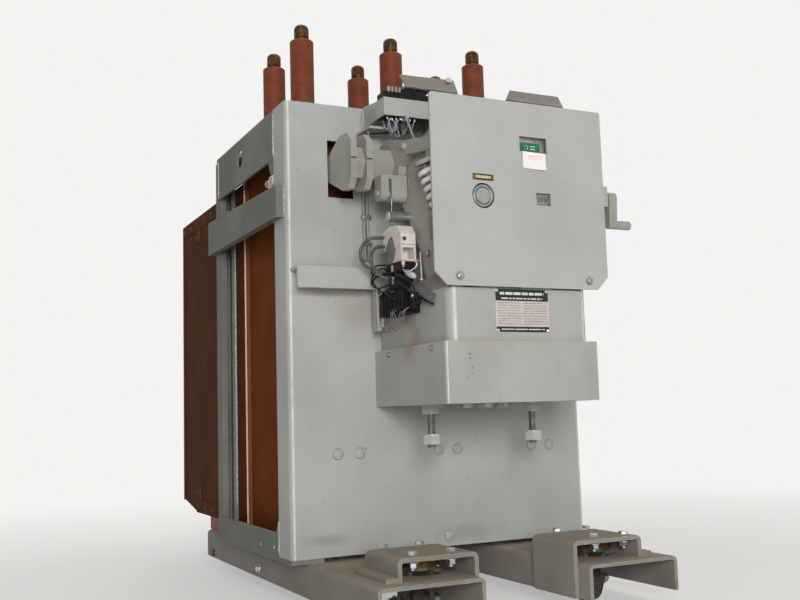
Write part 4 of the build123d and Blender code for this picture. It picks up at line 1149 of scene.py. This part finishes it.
def trip_button_ring():
    """Turned ring round the trip button, standing on a black disc at the bottom of the cover's hole that
    paints the hole's shade.
    """
    button, hole, shade_disc_top = 13.8, 20.9, 0.4
    bottom = [(-61.7, COVER.front + 4.0, 683)]
    # Black disc at the hole's bottom: painted shade
    floor = [(0, button), (0, hole), (shade_disc_top, hole), (shade_disc_top, button), (0, button)]
    turned("trip_hole_floor", BLACK_PHENOLIC_AND_SHADE, bottom, FRONT, floor, 48)
    ring = [(0.4, 14.4), (0.4, 18.6), (3.0, 18.6), (3.6, 17.8), (3.6, 16.0), (2.2, 14.4), (0.4, 14.4)]
    turned("trip_button_ring", DULL_ZINC, bottom, FRONT, ring, 48)


# Mechanism and wiring beside the cover


def crank_seams():
    """Dark seams on the front edges of the crank's two plates."""
    seams = [((left + 0.3, -100.4, 776), (left + 10.7, -99.6, 778.2)) for left in (-220, -190)]
    blocks("crank_edge_seams", BLACK_PVC, seams, 0.2)


def coupler_link():
    """Flat link from the coupler down to the lever, a pin through each of its ends."""
    top, foot = Vector((-117, -111, 856)), Vector((-117, -150, 793))
    mesh = bmesh.new()
    add_tube(mesh, smooth_line([top, top + (foot - top) * 0.5, foot], 4), 13.0, 3.4, 12)
    for y, z in ((-147.5, 797), (-112.5, 851)):
        add_turned(mesh, at(-115, y, z), LEFT, rod(6, 7, (1, 1)), 24)
    finish_piece("coupler_link", mesh, DULL_ZINC)


def roller_and_rod():
    """Wire of the plate's roller, the bar at the plate's foot and the guide rod on it."""
    wire = [(-151, -113, 704), (-150.6, -112.6, 693), (-151, -112, 683)]
    wires("roller_wire", DULL_ZINC, [wire], 1.8, steps=5, smooth_below=35.0)
    bar = [((-126, -255, 533), (-117.2, -152, 556))]
    blocks("plate_foot_bar", FRAME_ENAMEL_WORN_AND_SHADE, bar, 1.0)
    guide = [(0, 0), (0, 6.5), (2.4, 6.5), (3.4, 5.6), (3.4, 2.4), (48, 2.4), (50, 1.4), (50, 0)]
    turned("guide_rod", DULL_ZINC, [(-121.6, -160, 556)], UP, guide)


def latch_details():
    """Grey cam in the latch block's recess and the brass bush in its front."""
    middle = Vector((-107.0, 612.0))
    outline = [(-131, 612), (-124, 597), (-111, 589), (-93, 589)]
    outline += [(-85, 601), (-90, 617), (-103, 635), (-117, 638)]
    mesh = bmesh.new()
    rings = []
    for x, shrink in ((LATCH.left + 4.0, 1.0), (LATCH.left - 0.4, 1.0), (LATCH.left - 1.2, 0.9)):
        points = [middle + (Vector(corner) - middle) * shrink for corner in outline]
        rings.append([mesh.verts.new(at(x, *point)) for point in points])
    join_all(mesh, rings)
    finish_piece("latch_cam", mesh, CAM_GREY)
    bush = [((-147.5, LATCH.front, 629), FRONT)]
    fasteners("latch_bush", round_head, bush, DARK_BRASS, size=0.36, seed=31)
    low = (LATCH.left + 0.5, LATCH.front - 0.25, 618.6)
    high = (LATCH.right - 0.5, LATCH.front + 0.2, 619.4)
    blocks("latch_parting_line", CAM_GREY, [(low, high)])


def coupler_top():
    """Prongs, nuts and plug on the coupler block, and the dark board below it."""
    prongs = [((x, -104, COUPLER.top), (x + 2.0, -98, 912)) for x in (-146, -139, -131.5, -124.5)]
    blocks("coupler_prongs", DULL_ZINC, prongs, 0.3)
    nuts = [((x, y, COUPLER.top), UP) for x in (-66, -34) for y in (-100, -84)]
    fasteners("coupler_nuts", hexagon_nut, nuts, ZINC, size=0.36, seed=32)
    plug = ((-120, -103, COUPLER.top - 0.5), (-74, -82, 909.5), 1.2)
    dark_board = ((-153, -107, 860), (-25, -61, COUPLER.bottom + 0.3), 0.5)
    blocks("coupler_plug_and_board", BLACK_PHENOLIC_AND_SHADE, [plug, dark_board])


def coupler_wiring():
    """Wire tails that hang below the coupler, each from its lug and back up behind."""
    board_bottom = 861
    tails = ((-145, -136, 834), (-137, -140, 839), (-127, -134, 830), (-124, -118, 829), (-115, -106, 835))
    tails += ((-101, -112, 832), (-91, -94, 842), (-133, -124, 840), (-108, -98, 838), (-119, -128, 836))
    shake = random.Random(33)
    routes = []
    lugs = bmesh.new()
    for top_x, foot_x, foot_z in tails:
        y = -95 + shake.uniform(-6, 8)
        bend = shake.uniform(-3, 3)
        hanging = [(top_x, y, board_bottom)]
        hanging.append(((top_x + foot_x) / 2 + bend, y + 2, (board_bottom + foot_z) / 2))
        hanging.append((foot_x, y + 5, foot_z))
        rising = [(foot_x + bend, y + 14, foot_z + 3), (foot_x + 2 * bend, y + 22, board_bottom + 1)]
        routes.append(hanging + rising)
        add_turned(lugs, at(top_x, y, board_bottom - 0.5), DOWN, rod(2.0, 6, (2, 0.6)), 12)
    wires("coupler_wire_tails", PALE_PVC, routes, 2.2)
    finish_piece("coupler_lugs", lugs, ZINC)
    side = [(-160.5, -24, 893), (-161, -18, 876), (-161.5, -34, 854), (-161, -46, 838)]
    side += [(-158, -30, 824), (-156, -8, 816)]
    wires("coupler_side_wire", PALE_PVC, [side], 2.4)
    bar = [(-150, -24, 846), (-128, -40, 845.5), (-104, -52, 845), (-82, -60, 846)]
    wires("coupler_rod", BLACK_PVC, [bar], 3.4)


def conduit_pair():
    """Two thin conduits down the front plate, held by saddles."""
    routes = []
    for x in (-156.0, -148.5):
        route = [(x, -5, 845), (x + 0.6, -4.4, 780), (x - 0.4, -4.2, 700)]
        routes.append(route + [(x + 0.5, -4.6, 640), (x, -7, 612)])
    wires("conduit_pair", CONDUIT_PAINT, routes, 6.2)
    saddles = [((-161, -9.2, z), (-142, -0.2, z + 7)) for z in (690, 640)]
    blocks("conduit_saddles", DULL_ZINC, saddles, 1.5)


TERMINAL_PITCH = 11.0


def terminal_fins():
    """Fins and side blocks of the terminal blocks, with their screws."""
    fin, low_top, high_top = 2.2, 537, 545
    shapes = []
    for step in range(8):
        y = -159 + step * TERMINAL_PITCH
        top = low_top if step < 5 else high_top
        shapes.append(((TERMINALS.left - 4.5, y, 503), (TERMINALS.left + 0.5, y + fin, top), 0.4))
    shapes += [((-149, -184, 506), (-140, -159, 534), 1.5), ((-147, -192, 512), (-140, -183, 525), 1.0)]
    shapes.append(((-158, -150, 572), (-128, -97, LATCH.bottom + 0.5), 2.0))
    shapes.append(((-159, -142, 545), (-146, -108, 566), 2.0))
    blocks("terminal_fins", BLACK_PHENOLIC_AND_SHADE, shapes)
    middles = [-152.4 + step * TERMINAL_PITCH for step in range(7)]
    screws = [((TERMINALS.left, y, z), LEFT) for y in middles for z in (511, 530)]
    screws.append(((-149, -178, 528), LEFT))
    fasteners("terminal_screws", slotted_head, screws, ZINC, size=0.46, seed=41)


def terminal_connectors():
    """Blades above the terminal blocks, the milky connector and the bars that carry them."""
    mesh = bmesh.new()
    for y, z in ((-128.5, 574), (-131, 553)):
        add_block(mesh, (-161.5, y, z), (-158, y + 4.5, z + 12), 0.6)
    post = [(0, 0), (0, 4.5), (6, 4.5), (7, 3.0), (9, 3.0), (9, 0)]
    add_turned(mesh, at(-150, -150, 589), DOWN, post, 20)
    finish_piece("connector_blades", mesh, DULL_ZINC)
    to_front_and_down = (0.1, -0.9, -0.42)
    body = [(0, 0), (0, 3.0), (5, 3.4), (8, 5.6), (22, 6.0), (27, 4.6), (30, 3.4), (30, 0)]
    turned("milky_connector", MILKY, [(-149, -155, 572)], to_front_and_down, body)
    bars = [((x, y, 486), (x + 2.5, y + 4, 557)) for x, y in ((-156.5, -53), (-151.5, -63))]
    bars.append(((-156.5, -63, 553), (-149, -35, 557)))
    blocks("terminal_bars", BOX_ENAMEL, bars, 0.5)


def terminal_wiring():
    """Short wires tied round the terminal blocks, all fixed at both ends."""
    looped = [(-157, -112, 580), (-162, -84, 586), (-165, -58, 578)]
    looped += [(-163, -48, 563), (-162, -72, 553), (-159, -110, 555)]
    black = [
        looped,
        [(-157, -104, 576), (-164, -80, 574), (-168, -64, 566), (-163, -76, 550), (-158, -96, 540)],
        [(-157, -140, 578), (-164, -150, 568), (-160, -168, 560), (-152, -182, 548), (-144, -186, 522)],
        [(-158, -136, 562), (-166, -146, 556), (-160, -164, 548), (-150, -172, 536), (-144, -172, 520)],
        [(-158, -118, 550), (-166, -112, 544), (-168, -124, 534), (-158, -132, 526)],
        [(-154, -90, 592), (-166, -74, 592), (-174, -70, 582), (-168, -80, 572), (-157, -98, 574)],
    ]
    wires("terminal_black_wires", BLACK_PVC, black, 3.0)
    pale = []
    for inward in (0.0, 6.0, 12.0):
        near, far, foot, knee = -116 - inward, -168 + inward, 476 + inward, 490 + inward
        down = [(-156, near, 510), (-160, near, 503), (-161, near - 4, knee)]
        back_up = [(-160, -142, foot), (-160, far + 4, knee), (-159, far, 503), (-150, far, 510)]
        pale.append(down + back_up)
    wires("terminal_grey_wires", GREY_PVC, pale, 1.4)
    cream = [(-150, -146, 578), (-153, -166, 569), (-151, -190, 571)]
    cream += [(-149, -199, 577), (-146, -188, 585), (-134, -178, 588)]
    wires("terminal_cream_wire", CREAM, [cream], 2.4)
    brass = [(-155, -70, 484), (-156, -82, 475), (-156, -96, 475)]
    brass += [(-155, -106, 483), (-156, -115, 476), (-155, -126, 474)]
    wires("terminal_brass_link", PLATE_BRASS, [brass], 2.0)


def flat_strap():
    """Flat grey strap below the latch block, with a wire along its edge."""
    strap = [(-130.5, -122, 555), (-131, -140, 549), (-131, -168, 539), (-130, -196, 527), (-129, -217, 519)]
    wires("flat_strap", CAM_GREY, [strap], 3.0, 17.0, sides=12)
    edge = [(x - 1.6, y, z - 9) for x, y, z in strap]
    wires("strap_wire", BLACK_PVC, [edge], 4.0, sides=10)


CABLE_DIAMETER = 6.0
CABLE_ROUTES = {
    "control_cable_upper": (
        (-154, -84, 641), (-166, -84, 641), (-178, -78, 640), (-188, -71, 631), (-193, -67, 618),
        (-192, -66, 604), (-186, -70, 592), (-174, -79, 584), (-160, -90, 580), (-149, -103, 579),
        (-149, -120, 579),
    ),
    "control_cable_lower": (
        (-154, -86, 625), (-165, -86, 625), (-175, -86, 620), (-181, -87, 610), (-182, -88, 598),
        (-178, -89, 587), (-171, -90, 577), (-162, -92, 570), (-152, -96, 566), (-145, -104, 565),
        (-143, -112, 565), (-143, -120, 565),
    ),
}


def cable_curve(name, route):
    """Curve of the cable's thickness along its route, and the length of its spline."""
    curve = bpy.data.curves.new(name, "CURVE")
    curve.dimensions = "3D"
    curve.bevel_depth = CABLE_DIAMETER / 2 * MM
    curve.bevel_resolution = 4
    curve.resolution_u = 6
    curve.use_fill_caps = True
    spline = curve.splines.new("NURBS")
    spline.points.add(len(route) - 1)
    for point, place in zip(spline.points, route):
        point.co = (*at(*place), 1.0)
    spline.order_u = 3
    spline.use_endpoint_u = True
    curve.materials.append(CABLE_SHEATH)
    return curve, spline.calc_length()


def control_cables():
    """Rubber cables that loop from the latch block back to its foot."""
    for node, route in CABLE_ROUTES.items():
        curve, length = cable_curve(node + "_line", route)
        cable = bpy.data.objects.new(node + "_sheath", curve)
        scene.collection.objects.link(cable)
        hand_over(cable, replaced=(node,))


caster_bolts()
caster_axle_nuts()
frame_bolts()
box_bolts()
base_packers()
barrier_back_sheet()
upright_edges()
barrier_front_edges()
cover_screws()
barrier_screws()
strap_end_chips()
weld_beads()
contact_fingers()
spring_coil()
threaded_studs()
rating_plate()
trip_label()
card_tag()
position_symbol()
counter_drums()
trip_button_ring()
crank_seams()
coupler_link()
roller_and_rod()
latch_details()
coupler_top()
coupler_wiring()
conduit_pair()
terminal_fins()
terminal_connectors()
terminal_wiring()
flat_strap()
control_cables()

# Camera, stage and light

# The photo's camera, solved from the edges of the front plate, the cover and the housings:
# its place from the front plate, and its own directions to the right, down and forwards.
CAMERA_FROM_PLATE = (-878.3, -1625.9, 333.7)
CAMERA_RIGHT = Vector((0.899878, -0.435144, -0.029478))
CAMERA_DOWN = Vector((0.023647, 0.116167, -0.992948))
CAMERA_FORWARD = Vector((0.435500, 0.892835, 0.114826))
BACKGROUND = "#F4F3F1"
FLOOR_GREY = "#E4E3E0"
WORLD_LIGHT = 0.18


def photo_camera():
    """Camera that sees the breaker as the photo does, in lens millimetres on a 36 mm sensor."""
    data = bpy.data.cameras.new("photo_camera")
    data.sensor_width = 36.0
    data.lens = 44.246
    data.clip_start = 0.05
    data.clip_end = 60.0
    camera = bpy.data.objects.new("photo_camera", data)
    scene.collection.objects.link(camera)
    turn = Matrix((CAMERA_RIGHT, -CAMERA_DOWN, -CAMERA_FORWARD)).transposed().to_4x4()
    camera.matrix_world = Matrix.Translation(at(*CAMERA_FROM_PLATE)) @ turn
    return camera


def seen_share(tree):
    """1 for the camera's own rays and for what shines back or through, 0 for light."""
    rays = put(tree, "ShaderNodeLightPath").outputs
    seen = calculate(tree, "MAXIMUM", rays["Is Camera Ray"], rays["Is Glossy Ray"])
    return calculate(tree, "MAXIMUM", seen, rays["Is Transmission Ray"])


def pale_floor():
    """Pale matt floor that keeps the shadow near the object and fades into the background."""
    half = 30.0
    fade_start, fade_end, near_share = 0.8, 2.4, 0.45
    mesh = bpy.data.meshes.new("studio_floor")
    corners = [(-half, -half, 0), (half, -half, 0), (half, half, 0), (-half, half, 0)]
    mesh.from_pydata(corners, [], [(0, 1, 2, 3)])
    floor = bpy.data.objects.new("studio_floor", mesh)
    scene.collection.objects.link(floor)
    paint = Paint("pale_floor")
    tree = paint.tree
    matt = put(tree, "ShaderNodeBsdfPrincipled", {"Base Color": linear(FLOOR_GREY), "Roughness": 0.9})
    shown = put(tree, "ShaderNodeEmission", {"Color": linear(BACKGROUND), "Strength": 1.0})
    away = vector_sum(tree, "LENGTH", paint.place, output="Value")
    far = between(tree, away, fade_start, fade_end, near_share, 1.0)
    both = {0: times(tree, far, seen_share(tree)), 1: matt.outputs[0], 2: shown.outputs[0]}
    mixed = put(tree, "ShaderNodeMixShader", both)
    put(tree, "ShaderNodeOutputMaterial", {"Surface": mixed.outputs[0]})
    mesh.materials.append(paint.material)


def studio_world():
    """Pale background for the camera, and a faint white light from everywhere."""
    world = bpy.data.worlds.new("studio_world")
    scene.world = world
    world.use_nodes = True
    tree = world.node_tree
    tree.nodes.clear()
    lit = put(tree, "ShaderNodeBackground", {"Color": linear("#FFFFFF"), "Strength": WORLD_LIGHT})
    shown = put(tree, "ShaderNodeBackground", {"Color": linear(BACKGROUND), "Strength": 1.0})
    both = {0: seen_share(tree), 1: lit.outputs[0], 2: shown.outputs[0]}
    put(tree, "ShaderNodeOutputWorld", {"Surface": put(tree, "ShaderNodeMixShader", both).outputs[0]})


def soft_lamp(name, place, aim, size, watts):
    """Square lamp at a place in metres, turned to its aim."""
    data = bpy.data.lights.new(name, "AREA")
    data.shape = "SQUARE"
    data.size = size
    data.energy = watts
    lamp = bpy.data.objects.new(name, data)
    scene.collection.objects.link(lamp)
    lamp.location = place
    lamp.rotation_mode = "QUATERNION"
    lamp.rotation_quaternion = (Vector(aim) - Vector(place)).to_track_quat("-Z", "Y")


scene.camera = photo_camera()
scene.view_settings.view_transform = "Standard"
pale_floor()
studio_world()

# Each lamp's place, its aim, the side of its square and its watts
soft_lamp("key_lamp", (-1.3, -3.4, 0.95), (0.0, -0.2, 0.55), 1.1, 80.0)
soft_lamp("fill_lamp", (3.0, -2.4, 1.6), (0.0, 0.0, 0.5), 2.0, 12.0)
soft_lamp("back_lamp", (0.9, 3.8, 1.7), (0.0, 0.4, 0.5), 2.0, 60.0)
soft_lamp("top_lamp", (0.4, 0.4, 3.6), (0.0, 0.0, 0.6), 2.4, 30.0)
